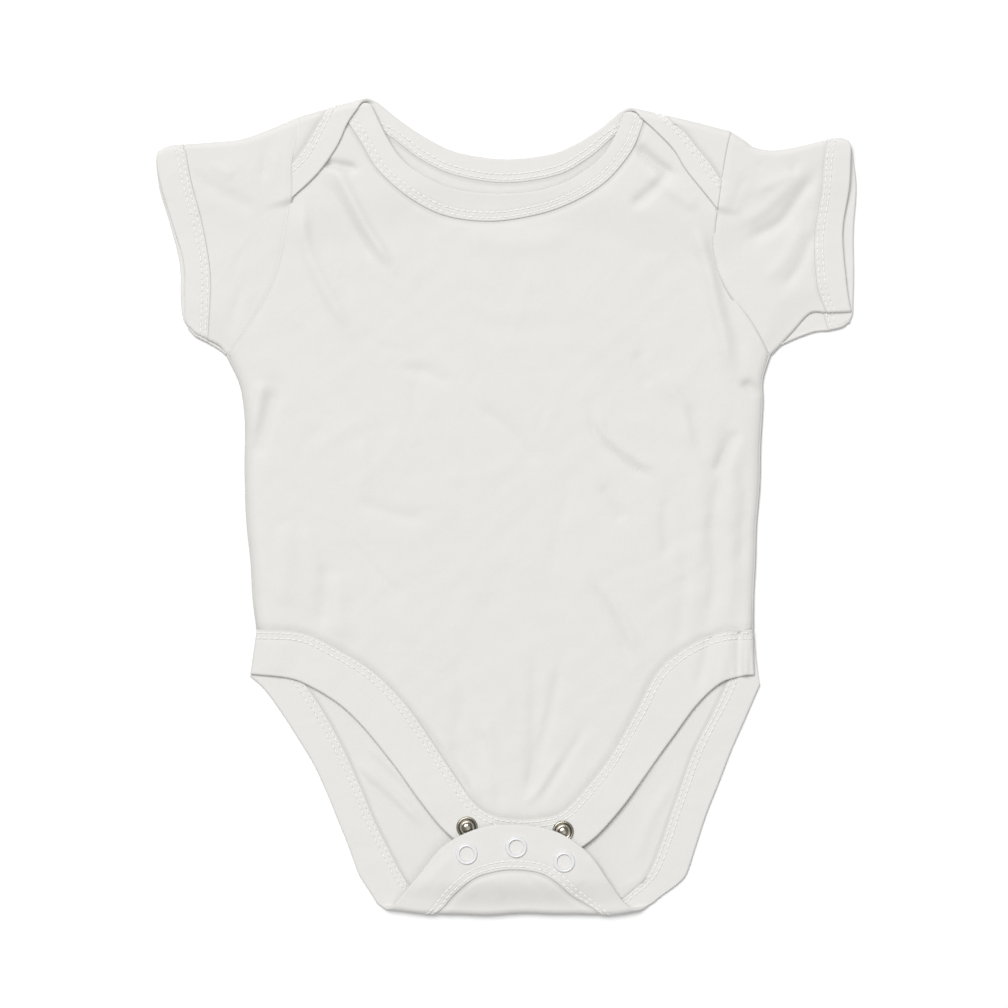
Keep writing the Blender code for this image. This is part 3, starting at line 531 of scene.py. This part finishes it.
def band(name, outer, outward, replaced, seamRound=0.6):
    # a closed strip: its half thickness is a quarter ellipse at the seam and at the edge, and its
    # outside dips by exp(-(distance / 0.55)^2) under each row of stitches
    normal = normalsOf(outer) * outward
    step = np.linalg.norm(np.diff(outer, axis=1), axis=2)
    fromSeam = np.concatenate([np.zeros((len(outer), 1)), np.cumsum(step, axis=1)], axis=1)
    fromEdge = fromSeam[:, -1:] - fromSeam
    half = cloth["rib"] / 2
    rounding = np.sqrt(np.clip(1 - np.clip(1 - fromSeam / seamRound, 0, 1) ** 2, 0, 1))
    rounding *= np.sqrt(np.clip(1 - np.clip(1 - fromEdge / (half * 1.2), 0, 1) ** 2, 0, 1))
    middle = outer - normal * half
    sunk = sum(stitch["dip"] * np.exp(-(((fromSeam - row) / 0.55) ** 2)) for row in stitch["rows"])
    beat = np.sin(2 * math.pi * np.arange(len(outer))[:, None] / 5.3)
    pucker = 0.05 * beat * np.exp(-((fromSeam - 3) / 2.5) ** 2)
    top = middle + normal * (half * rounding - sunk + pucker)[..., None]
    bottom = middle - normal * (half * rounding - 0.3 * sunk)[..., None]
    bottom[:, 0], bottom[:, -1] = top[:, 0], top[:, -1]
    rows, columns = outer.shape[:2]
    faces = [
        gridFaces(rows, columns, flip=outward < 0),
        gridFaces(rows, columns, start=rows * columns, flip=outward > 0),
    ]
    for row, flip in ((0, outward < 0), (rows - 1, outward > 0)):
        a = row * columns + np.arange(columns)
        b = a + rows * columns
        quads = np.stack([a[:-1], b[:-1], b[1:], a[1:]], axis=-1)
        faces.append(quads[:, ::-1] if flip else quads)
    # painted shade: the colour darkens at the seam, at the free edge and along the stitch rows, where shadow
    # falls
    shade = 0.5 * (1 - smooth(fromSeam / 0.9)) + 0.25 * (1 - smooth(fromEdge / 0.8))
    shade += 0.12 * sum(np.exp(-(((fromSeam - row) / 0.8) ** 2)) for row in stitch["rows"])
    points = warped(np.vstack([top.reshape(-1, 3), bottom.reshape(-1, 3)]))
    piece = addPiece(name, points, np.vstack(faces).tolist(), "rib", replaced, np.concatenate([shade, shade]))
    mergePoints(piece.data)
    addStitches(top, normal, fromSeam)
    addStitches(bottom, -normal, fromSeam)
    return piece


def sampled(rows, run, places):  # each column of the rows, read at those running distances
    return np.column_stack([np.interp(places, run, column) for column in rows.T])


def addStitches(top, normal, fromSeam):  # a stitch every pitch along each line of one distance from the seam
    for row in stitch["rows"]:
        stations = zip(np.dstack([top, normal]), fromSeam)
        line = np.vstack([sampled(station, gap, [row]) for station, gap in stations])
        line, ups = line[:, :3], line[:, 3:]
        run = travelled(line)
        count = int(run[-1] / stitch["pitch"])
        places = (np.arange(count) + 0.5) * stitch["pitch"] + rng.normal(0, 0.05, count)
        centre, up = sampled(line, run, places), sampled(ups, run, places)
        way = sampled(line, run, places + 0.6) - sampled(line, run, places - 0.6)
        clear = (centre[:, 2] > 0.6) & (up[:, 2] > -0.3)
        stitchSpots.append((centre[clear], way[clear], up[clear]))


def makeStitches(name):
    # each stitch is six-sided, thin at its ends, where it dives into the cloth
    centre, way, up = (np.vstack([group[k] for group in stitchSpots]) for k in range(3))
    way = unit(way)
    side = unit(np.cross(up, way))
    up = np.cross(way, side)
    along = np.array([-0.5, -0.4, -0.15, 0.15, 0.4, 0.5]) * stitch["length"]
    thick = np.array([0.45, 0.85, 1.0, 1.0, 0.85, 0.45]) * stitch["radius"]
    lift = stitch["proud"] - np.array([0.3, 0.08, 0.0, 0.0, 0.08, 0.3])
    angle = np.arange(6) * math.pi / 3
    ring = (
        centre[:, None, None]
        + way[:, None, None] * along[:, None, None]
        + side[:, None, None] * (thick[:, None] * np.cos(angle))[..., None]
        + up[:, None, None] * (lift[:, None] + thick[:, None] * np.sin(angle))[..., None]
    )
    index = np.arange(len(centre) * 36).reshape(-1, 6, 6)
    after = np.roll(index, -1, axis=2)
    quads = np.stack([index[:, :-1], after[:, :-1], after[:, 1:], index[:, 1:]], axis=-1).reshape(-1, 4)
    caps = np.vstack([index[:, 0, ::-1], index[:, -1]])
    return addPiece(name, warped(ring.reshape(-1, 3)), quads.tolist() + caps.tolist(), "thread", None)


columnShares = (1 - np.cos(np.pi * even(30))) / 2
detail = {"neck": 190, "lap": 46, "leg": 230, "backLeg": 120, "flap": 110}
panelDetail = {"right": 26, "left": 30, "neck": 124, "lap": 26, "flap": 60, "flapRise": 34}
panelDetail["columns"] = panelDetail["right"] + panelDetail["left"] + panelDetail["neck"]


def across(sections):  # the rows between each seam point and its edge point
    return np.swapaxes(between(sections[:, :2], sections[:, 2:], columnShares), 0, 1)


def lapLine(layer, side, steps):  # seam and edge from the turn's end to the armhole, in plan
    turn, fold = turns[layer, side], shoulders[side]
    start = (turn["seam"][1], fold.radius, turn["edge"][1], fold.radius)
    rows = curve([start, *lapSections[side]], steps)
    return np.hstack([fold.at(rows[:, 0], rows[:, 1]), fold.at(rows[:, 2], rows[:, 3])])


def neckLine(layer, steps):  # seam and edge round the neck, from fold to fold
    ends = []
    for side, fold in shoulders.items():
        turn = turns[layer, side]
        ends.append([*fold.at(turn["seam"][0], fold.radius), *fold.at(turn["edge"][0], fold.radius)])
    return curve([ends[0], *neckSections[layer], ends[1]], steps)


def tucked(sections):  # seam + tuck times the unit way to the edge, so that it lies under the binding
    return sections[:, :2] + unit(sections[:, 2:] - sections[:, :2]) * cloth["tuck"]


def turnRadius(layer):  # the front goes round inside the back
    return cloth["shoulderRadius"] if layer == "back" else cloth["innerRadius"]


def lapLevel(layer):
    return lapHeight if layer == "back" else cloth["shoulderRadius"] - cloth["innerRadius"]


def neckBinding(layer):
    neck = lifted(across(neckLine(layer, detail["neck"])), 0.0 if layer == "back" else bandHeight)
    parts = [neck]
    if layer == "front":  # come up to the height of the fold at both ends
        order = np.arange(len(neck))
        settle = smooth(np.minimum(order, order[::-1]) / 14)[:, None]
        neck[..., 2] = neck[..., 2] * settle + front["shoulder"] * (1 - settle)
    for side in ("left", "right"):
        turn = turns[layer, side]
        first, last = (between(seam, edge, columnShares) for seam, edge in zip(turn["seam"], turn["edge"]))
        turned = shoulders[side].turn(first, last, turnRadius(layer), upward=layer == "back")
        lap = lifted(across(lapLine(layer, side, detail["lap"])), lapLevel(layer))
        settle = smooth(np.arange(len(lap)) / 10)[:, None]
        lap[..., 2] = lap[..., 2] * settle + turned[-1, :, 2] * (1 - settle)
        end = joined(turned, lap)
        parts = [parts[0], end] if side == "left" else [end[::-1], *parts]
    outer = joined(*parts)
    sign = 1 if layer == "back" else -1
    return band(f"neckBinding{layer.title()}", outer, sign, [f"neck_binding_{layer}"]), outer[:, 0]


def shoulderRows(layer, side):  # the turn over the fold, then ruled rows to the lap's seam
    turn, fold, steps = turns[layer, side], shoulders[side], panelDetail[side]
    ends = [(hole, seam + cloth["tuck"]) for hole, seam in zip(turn["armhole"], turn["seam"])]
    first, last = (between(hole, seam, even(steps)) for hole, seam in ends)
    turned = fold.turn(first, last, turnRadius(layer), upward=layer == "back")
    seam = tucked(lapLine(layer, side, steps))[::-1]
    lap = lifted(between(fold.at(last, fold.radius), seam, even(panelDetail["lap"])), lapLevel(layer))
    lap[..., 2] += (turned[-1, 0, 2] - lap[..., 2]) * (1 - smooth(np.arange(len(lap)) / 5))[:, None]
    lap[0] = turned[-1]
    lap[:, -1] = turned[-1, -1]
    rows = joined(turned, lap)
    return rows if side == "right" else rows[:, ::-1]


def panelTop(layer):  # the right shoulder's fold, the neck's seam and the left shoulder's fold
    rows = {}
    for side, fold in shoulders.items():
        turn = turns[layer, side]
        along = between(turn["armhole"][0], turn["seam"][0] + cloth["tuck"], even(panelDetail[side]))
        rows[side] = fold.at(along, fold.radius)
    neck = tucked(neckLine(layer, panelDetail["neck"]))
    neck[0], neck[-1] = rows["right"][-1], rows["left"][-1]
    return joined(rows["right"], neck, rows["left"][::-1])


def sideLine(layer, side):  # the side seam, then the armhole up to the fold
    fold = shoulders[side]
    start = fold.at(turns[layer, side]["armhole"][0], fold.radius)
    return joined(sideLines[side], curve([*armholes[side], start], sideSteps["armhole"]))


def rolled(place, middle=1.15):
    # at the side seams each wall rounds over towards the other, so that the edge is closed
    gap = sideGap(place[:, 0], place[:, 1], 2)
    share = 1 - np.clip(1 - gap / 2.8, 0, 1) ** 2
    closer = middle + (place[:, 2] - middle) * (0.1 + 0.9 * share)
    place[:, 2] = np.where(place[:, 2] < 3.6, closer, place[:, 2])
    return place


def panelBody(layer, bottom, sides, height):  # a relaxed Coons patch with the shoulders' folds along its top
    body = lifted(relaxed(coons(bottom, panelTop(layer), *sides)), height)
    rows = [shoulderRows(layer, side) for side in shoulders]
    body[-1, : panelDetail["right"] + 1] = rows[0][0]
    body[-1, -panelDetail["left"] - 1 :] = rows[1][0]
    return body, rows


def frontPanel(neckSeam, legSeam):
    seam = tucked(curve(frontLegSections, panelDetail["columns"]))
    sides = [sideLine("front", side) for side in shoulders]
    seam[0], seam[-1] = sides[0][0], sides[1][0]
    body, rows = panelBody("front", seam, sides, frontHeight)
    tops = [fold.at(turns["front", side]["armhole"][0], fold.radius) for side, fold in shoulders.items()]
    holes = [curve([*armholes[side], top], 80) for side, top in zip(shoulders, tops)]
    holes = lifted(np.vstack(holes), front["loft"])

    def sink(place, near):
        return 0.55 * near + 0.15 * closeness(place, holes)
    seams = [neckSeam, legSeam]
    return panel("frontPanel", [body, *rows], 1, seams, sink, ["front_panel"], rolled, holes, bodyCreases)


def backPanel(neckSeam, legSeam):
    flapSteps, tuck = panelDetail["flap"], cloth["tuck"]
    seamX = [between(right - tuck, left + tuck, even(flapSteps)) for right, left in crotchTurn["seam"]]
    turned = crotchFold.turn(*seamX, cloth["crotchRadius"])
    flapSeam = tucked(curve(flapSections, flapSteps))
    flap = lifted(between(turned[-1, :, :2], flapSeam, even(panelDetail["flapRise"])), flapHeight)
    flap[0] = turned[-1]
    legSteps = (panelDetail["columns"] - flapSteps) // 2
    legs = [tucked(curve(backLegSections[side], legSteps)) for side in shoulders]
    sides = [sideLine("back", side) for side in shoulders]
    for leg, side, end in zip(legs, sides, (0, -1)):
        leg[0], leg[-1] = side[0], turned[0, end, :2]
    bottom = joined(legs[0], turned[0, :, :2], legs[1][::-1])
    body, rows = panelBody("back", bottom, sides, backHeight)
    body[0, legSteps : legSteps + flapSteps + 1] = turned[0]

    def sink(place, near):
        return 0.05 + 0.5 * near * smooth((place[:, 2] - 1) / 3)
    patches = [joined(turned, flap)[::-1], body, *rows]
    return panel("backPanel", patches, -1, [neckSeam, legSeam], sink, ["back_panel"], rolled)


def frontLegBinding():
    outer = lifted(across(curve(frontLegSections, detail["leg"])), bandHeight)
    return band("legBindingFront", outer, 1, ["leg_binding_front"]), outer[:, 0]


def backLegBinding():
    ends = []
    for index, side in enumerate(shoulders):
        leg = lifted(across(curve(backLegSections[side], detail["backLeg"])), 0)
        places = zip(crotchTurn["seam"], crotchTurn["edge"])
        first, last = (between(seam[index], edge[index], columnShares) for seam, edge in places)
        turned = crotchFold.turn(first, last, cloth["crotchRadius"])
        leg[-1] = turned[0]
        rows = joined(leg, turned)
        ends.append(rows if side == "right" else rows[::-1])
    flap = lifted(across(curve(flapSections, detail["flap"])), flapHeight)
    start = between(ends[0][-1], flap[0], even(6))[1:-1]
    finish = between(flap[-1], ends[1][0], even(6))[1:-1]
    outer = np.vstack([ends[0], start, flap, finish, ends[1]])
    return band("legBindingBack", outer, -1, ["leg_binding_back"]), outer[:, 0]


sleeveSteps = {"along": 60, "round": 100}
signs = {"right": 1, "left": -1}
underarm = {"height": 1.15, "reach": 1.2}


def topFrame(side):
    # the top fold's line, its unit outward way and its radius, which goes from the shoulder's to the cuff's
    fold, steps = shoulders[side], sleeveSteps["along"]
    line = curve([fold.at(turns["back", side]["armhole"][0], 0), *sleeves[side]["top"]], steps)
    run = np.gradient(line, axis=0)
    run[-1] = np.subtract(sleeves[side]["edge"][-1], line[-1])
    out = unit(np.column_stack([-run[:, 1], run[:, 0]]))
    out *= np.sign(out[:, 1:])
    settle = smooth(np.arange(steps + 1) / 14)[:, None]
    out = unit(out * settle - fold.inward * (1 - settle))
    radius = cloth["shoulderRadius"] + (cloth["cuffRadius"] - cloth["shoulderRadius"]) * smooth(even(steps))
    return line, out, radius


def turnedTop(line, out, radius, steps=16):
    # each point swings half round a centre a radius inside the fold
    angle = np.pi * even(steps)[:, None]
    plan = line - out * radius[:, None] + out * (radius * np.sin(angle))[..., None]
    return np.concatenate([plan, (radius * (1 - np.cos(angle)))[..., None]], axis=-1)


def halfHeight(grid, radius, side, under):  # from the underarm's height over the loft to 2 radius
    x, y = grid[..., 0], grid[..., 1]
    v = even(len(grid) - 1)[:, None]
    length = np.linalg.norm(grid[-1] - grid[0], axis=-1)
    height = under + (3.5 - under) * smooth(v * length / 14)
    height = height + (2 * radius - height) * smooth((v - 0.5) / 0.42)
    extra = 0.95 * creased(x, y, sleeveCreases[side]) + 0.8 * ripples(x * 1.3, y * 1.3)
    return height + extra * smooth(v * 6) * smooth((1 - v) * 7)


def tube(frontHalf, turned, backGrid):
    # the back half, the turned top and the front half, with the underarm's edges rounded towards each other
    frontHalf[-1] = turned[-1]
    backHalf = lifted(backGrid, 0)
    for grid in (frontHalf, backHalf):
        gap = np.linalg.norm(grid[..., :2] - grid[:1, :, :2], axis=-1)
        share = np.sqrt(np.clip(1 - np.clip(1 - gap / underarm["reach"], 0, 1) ** 2, 0, 1))
        grid[..., 2] = underarm["height"] + (grid[..., 2] - underarm["height"]) * (0.15 + 0.85 * share)
    return joined(backHalf, turned, frontHalf[::-1])


def holeHeight(x, y, side):  # the front panel's height along the armhole, and above that the lap's
    lap = smooth((34.5 - shoulders[side].depth(x, y)) / 4 + 0.5)
    return frontBase(x, y) + lap * (cloth["rib"] + cloth["layerGap"])


def sleeve(side):
    shape = sleeves[side]
    line, out, radius = topFrame(side)
    inner = line - out * radius[:, None]
    hole = curve([*armholes[side], inner[0]], sleeveSteps["round"])
    halves = []
    for key in ("under", "underBack"):
        below = curve([hole[0], *shape[key][1:]], sleeveSteps["along"])
        seam = curve([below[-1], *shape["cuffSeam"][1:-1], inner[-1]], sleeveSteps["round"])
        halves.append(relaxed(coons(below, inner, hole, seam), 60))
    height = halfHeight(halves[0], radius, side, 2.3 + 0.8 * even(sleeveSteps["along"]) ** 2)
    apart = np.linalg.norm(halves[0] - halves[0][:, :1], axis=-1)
    v = even(len(height) - 1)[:, None]
    atHole = (1 - smooth(apart / 13)) * smooth(v * 9) * smooth((1 - v) * 9)
    height = height * (1 - atHole) + holeHeight(*hole.T[..., None], side) * atHole
    rows = tube(np.dstack([halves[0], height]), turnedTop(line, out, radius), halves[1])
    fromHole = even(rows.shape[1] - 1) * 45 / 2.5
    sunk = 0.2 * (1 - smooth(fromHole)) + 0.5 * (1 - smooth(fromHole[::-1]))
    flat = smooth((rows[..., 2] - 0.5) / 2)
    rows = rows - normalsOf(rows) * signs[side] * (sunk[None] * flat + 0.04)[..., None]
    tuckIn = rows[:, :1] + unit(rows[:, :1] - rows[:, 1:2]) * 1.6
    tuckIn[..., 2] += np.where(tuckIn[..., 2] > 2, -0.2, 0.2)
    rows = np.hstack([tuckIn, rows])
    ends = [rows[::2, 0], rows[::2, -1]]
    return panel(f"sleeve{side.title()}", [rows], signs[side], ends, None, [f"sleeve_{side}"], seamShade=0.22)


def cuff(side):
    shape = sleeves[side]
    start = topFrame(side)[0][-1]
    way = unit(np.subtract(shape["edge"][-1], start))
    top = between(start - way * 0.6, shape["edge"][-1], columnShares)
    outs = np.repeat([[-way[1], way[0]]], len(top), axis=0)
    outs *= np.sign(outs[:, 1:])
    inner = top - outs * cloth["cuffRadius"]
    turned = turnedTop(top, outs, np.full(len(top), cloth["cuffRadius"]))
    halves = []
    for edgeKey, underKey in (("edge", "under"), ("edgeBack", "underBack")):
        edge = curve([*shape[edgeKey][:-1], inner[-1]], sleeveSteps["round"])
        seam = curve([shape[underKey][-1], *shape["cuffSeam"][1:-1], inner[0]], sleeveSteps["round"])
        halves.append(np.swapaxes(between(seam - unit(edge - seam) * 0.6, edge, columnShares), 0, 1))
        halves[-1][-1] = inner
    height = halfHeight(halves[0], cloth["cuffRadius"], side, 3.1) + 0.1
    rows = tube(np.dstack([halves[0], height]), turned, halves[1])
    return band(f"cuff{side.title()}", rows, signs[side], [f"cuff_{side}"])


snaps = {
    "right": {"cap": (-16.9, -150.8), "stud": (-16.7, -139.6)},
    "middle": {"cap": (flapShape["middle"], -147.9), "stud": (flapShape["middle"], -147.9)},
    "left": {"cap": (25.4, -154.2), "stud": (25.0, -141.4)},
}
snapProfiles = {  # radius and height round each closed outline, from the part's own base
    "cap": [
        (3.05, -0.5), (4.2, -0.5), (4.65, -0.1), (4.7, 0.35), (4.58, 0.66), (4.35, 0.8), (4.05, 0.72),
        (3.75, 0.66), (3.5, 0.78), (3.28, 0.84), (3.1, 0.7), (3.02, 0.3),
    ],
    "socket": [(2.2, 0), (4.2, 0), (4.5, 0.3), (4.5, 0.9), (4.3, 1.2), (2.2, 1.2)],
    "ring": [(3.1, 0), (4.6, 0), (4.7, 0.2), (4.7, 0.5), (4.5, 0.6), (3.1, 0.6)],
    "stud": [
        (0, 0), (4.5, -0.35), (4.7, -0.1), (4.72, 0.25), (4.55, 0.62), (4.2, 0.82), (3.85, 0.78),
        (3.6, 0.45), (3.35, 0.12), (2.6, 0.05), (2.15, 0.15), (2, 0.5), (2.1, 1), (2.08, 1.4), (1.8, 1.75),
        (1.2, 1.98), (0.5, 2.05), (0, 2.06),
    ],
}


def snapPart(name, kind, place, slot, replaced, sides=64):  # a closed outline turned about a standing axis
    radius, height = np.array(snapProfiles[kind]).T
    angle = np.linspace(0, 2 * math.pi, sides, endpoint=False)[:, None]
    ring = [radius * np.cos(angle), radius * np.sin(angle), height + 0 * angle]
    ring = np.stack(ring, axis=-1) + place
    index = np.arange(sides * len(radius)).reshape(sides, -1)
    after = np.roll(index, -1, axis=0)
    quads = np.stack([index, after, np.roll(after, -1, axis=1), np.roll(index, -1, axis=1)], axis=-1)
    piece = addPiece(name, ring.reshape(-1, 3), quads.reshape(-1, 4).tolist(), slot, replaced)
    mergePoints(piece.data)
    soften = piece.modifiers.new("Soften", "SUBSURF")
    soften.levels = soften.render_levels = 1


def makeSnaps():
    flapTop = 2 * cloth["crotchRadius"] + flapShape["rise"]
    kinds = {  # height of its base, slot, and whose place it takes
        "cap": (flapTop + 0.15, "cap", "cap"),
        "socket": (flapTop - 2.9, "steel", "cap"),
        "stud": (front["crotch"] + 0.3, "steel", "stud"),
        "ring": (front["crotch"] - 2.3, "cap", "stud"),
    }
    for side, places in snaps.items():
        for kind, (height, slot, spot) in kinds.items():
            name = f"snap{kind.title()}{side.title()}"
            snapPart(name, kind, (*places[spot], height), slot, [f"snap_{kind}_{side}"])


class Socket:  # a shader value; arithmetic on it adds Math nodes
    def __init__(self, tree, link):
        self.tree, self.link = tree, link

    def math(self, operation, other, swap=False):
        node = self.tree.nodes.new("ShaderNodeMath")
        node.operation = operation
        pair = [self, other]
        for slot, value in zip(node.inputs, pair[::-1] if swap else pair):
            if isinstance(value, Socket):
                self.tree.links.new(value.link, slot)
            else:
                slot.default_value = value
        return Socket(self.tree, node.outputs[0])

    def __add__(self, other):
        return self.math("ADD", other)

    def __radd__(self, other):
        return self.math("ADD", other, True)

    def __mul__(self, other):
        return self.math("MULTIPLY", other)

    def __rmul__(self, other):
        return self.math("MULTIPLY", other, True)


class Finish:  # a material with its Principled shader; node() adds any node, with i0, i1 ... as input numbers
    def __init__(self, name):
        self.material = bpy.data.materials.new(name)
        self.material.use_nodes = True
        self.tree = self.material.node_tree
        self.shader = self.tree.nodes["Principled BSDF"]

    def node(self, kind, settings=None, output=0, **sockets):
        node = self.tree.nodes.new(kind)
        for key, value in (settings or {}).items():
            setattr(node, key, value)
        for key, value in sockets.items():
            numbered = key[0] == "i" and key[1:].isdigit()
            self.put(node.inputs[int(key[1:]) if numbered else key.replace("_", " ")], value)
        return Socket(self.tree, node.outputs[output])

    def put(self, slot, value):
        if isinstance(value, Socket):
            self.tree.links.new(value.link, slot)
        else:
            slot.default_value = value

    def set(self, **values):
        for key, value in values.items():
            self.put(self.shader.inputs[key.replace("_", " ")], value)
        return self.material

    def noise(self, **sockets):  # on Object coordinates unless i0 is given
        sockets.setdefault("i0", self.node("ShaderNodeTexCoord", output=3))
        return self.node("ShaderNodeTexNoise", **sockets)

    def mixed(self, share, first, second):  # first (1 - share) + second share
        return self.node("ShaderNodeMix", {"data_type": "RGBA"}, output=2, i0=share, i6=first, i7=second)


knitLook = {
    "jersey": {
        "colour": (0.745, 0.737, 0.715, 1), "shade": (0.70, 0.69, 0.665, 1),
        "paintedShadeColour": (0.42, 0.40, 0.36, 1), "cloud": 55.0, "bump": 0.35,
    },
    "rib": {
        "colour": (0.75, 0.742, 0.72, 1), "shade": (0.71, 0.70, 0.675, 1),
        "paintedShadeColour": (0.45, 0.43, 0.39, 1), "cloud": 70.0, "bump": 0.4,
    },
}


def knit(name):  # clouded cotton, darkened by the shade attribute as painted shade, with a soft crumple, fuzz and wales as bumps
    look = knitLook[name]
    finish = Finish(name + "Knit")
    cloud = finish.noise(Scale=look["cloud"], Detail=5.0, Roughness=0.65, Distortion=0.6)
    fuzz = finish.noise(Scale=1700.0, Detail=3.0, Roughness=0.7)
    crumple = finish.noise(Scale=42.0, Detail=2.5, Roughness=0.45, Distortion=1.1)
    place = finish.node("ShaderNodeTexCoord", output=3)
    stretched = finish.node("ShaderNodeVectorMath", {"operation": "MULTIPLY"}, i0=place, i1=(1.0, 0.3, 1.0))
    wales = finish.noise(i0=stretched, Scale=1500.0, Detail=2.0)
    plain = finish.mixed(cloud * 0.6 + fuzz * 0.4, look["shade"], look["colour"])
    # painted shade: the shade attribute mixes the colour towards a darker one in seams, creases and at the
    # sides
    paintedShade = finish.node("ShaderNodeAttribute", {"attribute_name": "shade"}, output=2)
    colour = finish.mixed(paintedShade * 0.75, plain, look["paintedShadeColour"])
    soft = finish.node("ShaderNodeBump", Strength=0.5, Distance=0.0009, Height=crumple)
    weave = fuzz * 0.6 + wales * 0.6
    grain = finish.node("ShaderNodeBump", Strength=look["bump"], Distance=0.0003, Height=weave, Normal=soft)
    finish.set(Sheen_Weight=0.18, Sheen_Roughness=0.6, Specular_IOR_Level=0.15)
    return finish.set(Base_Color=colour, Roughness=0.93, Normal=grain)


def thread():
    finish = Finish("sewingThread")
    twist = finish.noise(Scale=2200.0, Detail=2.0)
    colour = finish.mixed(twist, (0.80, 0.795, 0.78, 1), (0.90, 0.895, 0.885, 1))
    return finish.set(Base_Color=colour, Roughness=0.7)


def enamel():
    finish = Finish("capEnamel")
    cloud = finish.noise(Scale=900.0, Detail=2.0)
    colour = finish.mixed(cloud, (0.70, 0.70, 0.71, 1), (0.77, 0.77, 0.78, 1))
    return finish.set(Base_Color=colour, Roughness=cloud * 0.1 + 0.28, Coat_Weight=0.4, Coat_Roughness=0.15)


def nickel():
    finish = Finish("nickel")
    cloud = finish.noise(Scale=1400.0, Detail=3.0)
    colour = finish.mixed(cloud, (0.30, 0.28, 0.235, 1), (0.42, 0.395, 0.34, 1))
    return finish.set(Base_Color=colour, Metallic=1.0, Roughness=cloud * 0.15 + 0.16)


print("bindings")
neckBack, neckBackSeam = neckBinding("back")
neckFront, neckFrontSeam = neckBinding("front")
legBack, legBackSeam = backLegBinding()
legFront, legFrontSeam = frontLegBinding()
cuffPieces = {side: cuff(side) for side in shoulders}

print("panels and sleeves")
frontPiece = frontPanel(neckFrontSeam, legFrontSeam)
backPiece = backPanel(neckBackSeam, legBackSeam)
sleevePieces = {side: sleeve(side) for side in shoulders}

print("stitches and snaps")
makeStitches("coverstitch")
makeSnaps()

finishes = {name: knit(name) for name in knitLook}
finishes.update(cap=enamel(), steel=nickel(), thread=thread())
for pieceName, slotName in slotOf.items():
    bpy.data.objects[pieceName].data.materials.append(finishes[slotName])

print("stage")
stage = {"reach": 4.0, "drop": 0.0002, "height": 3.0, "view": 0.4385, "sky": 0.33}
stage["centre"] = (-0.00065, 0.00087)
lights = {  # place, size and power
    "key": ((-1.3, 2.7, 5.9), 4.2, 369),
    "fill": ((1.2, -1.5, 5.0), 3.6, 31),
}
floorMesh = bpy.data.meshes.new("floor")
square = np.array([(-1, -1), (1, -1), (1, 1), (-1, 1)]) * stage["reach"]
floorMesh.from_pydata(lifted(square, -stage["drop"]).tolist(), [], [(0, 1, 2, 3)])
paper = Finish("palePaper").set(Base_Color=(0.93, 0.93, 0.93, 1), Roughness=0.9, Specular_IOR_Level=0.1)
floorMesh.materials.append(paper)
floor = shown("floor", floorMesh)

for name, (place, size, power) in lights.items():  # each disk is turned to face the garment
    light = bpy.data.lights.new(name, "AREA")
    light.shape = "DISK"
    light.size = size
    light.energy = power
    lamp = shown(name, light)
    lamp.location = place
    lean = math.atan2(math.hypot(place[0], place[1]), place[2])
    lamp.rotation_euler = (lean, 0, math.atan2(-place[1], -place[0]) - math.pi / 2)

world = bpy.data.worlds.new("studio")
world.use_nodes = True
background = world.node_tree.nodes["Background"]
background.inputs[0].default_value = (1.0, 1.0, 1.0, 1)
background.inputs[1].default_value = stage["sky"]
scene.world = world
scene.view_settings.view_transform = "Standard"

lens = bpy.data.cameras.new("camera")
lens.sensor_width = 36
lens.lens = lens.sensor_width * stage["height"] / stage["view"]
camera = shown("camera", lens)
camera.location = (*stage["centre"], stage["height"])
scene.camera = camera
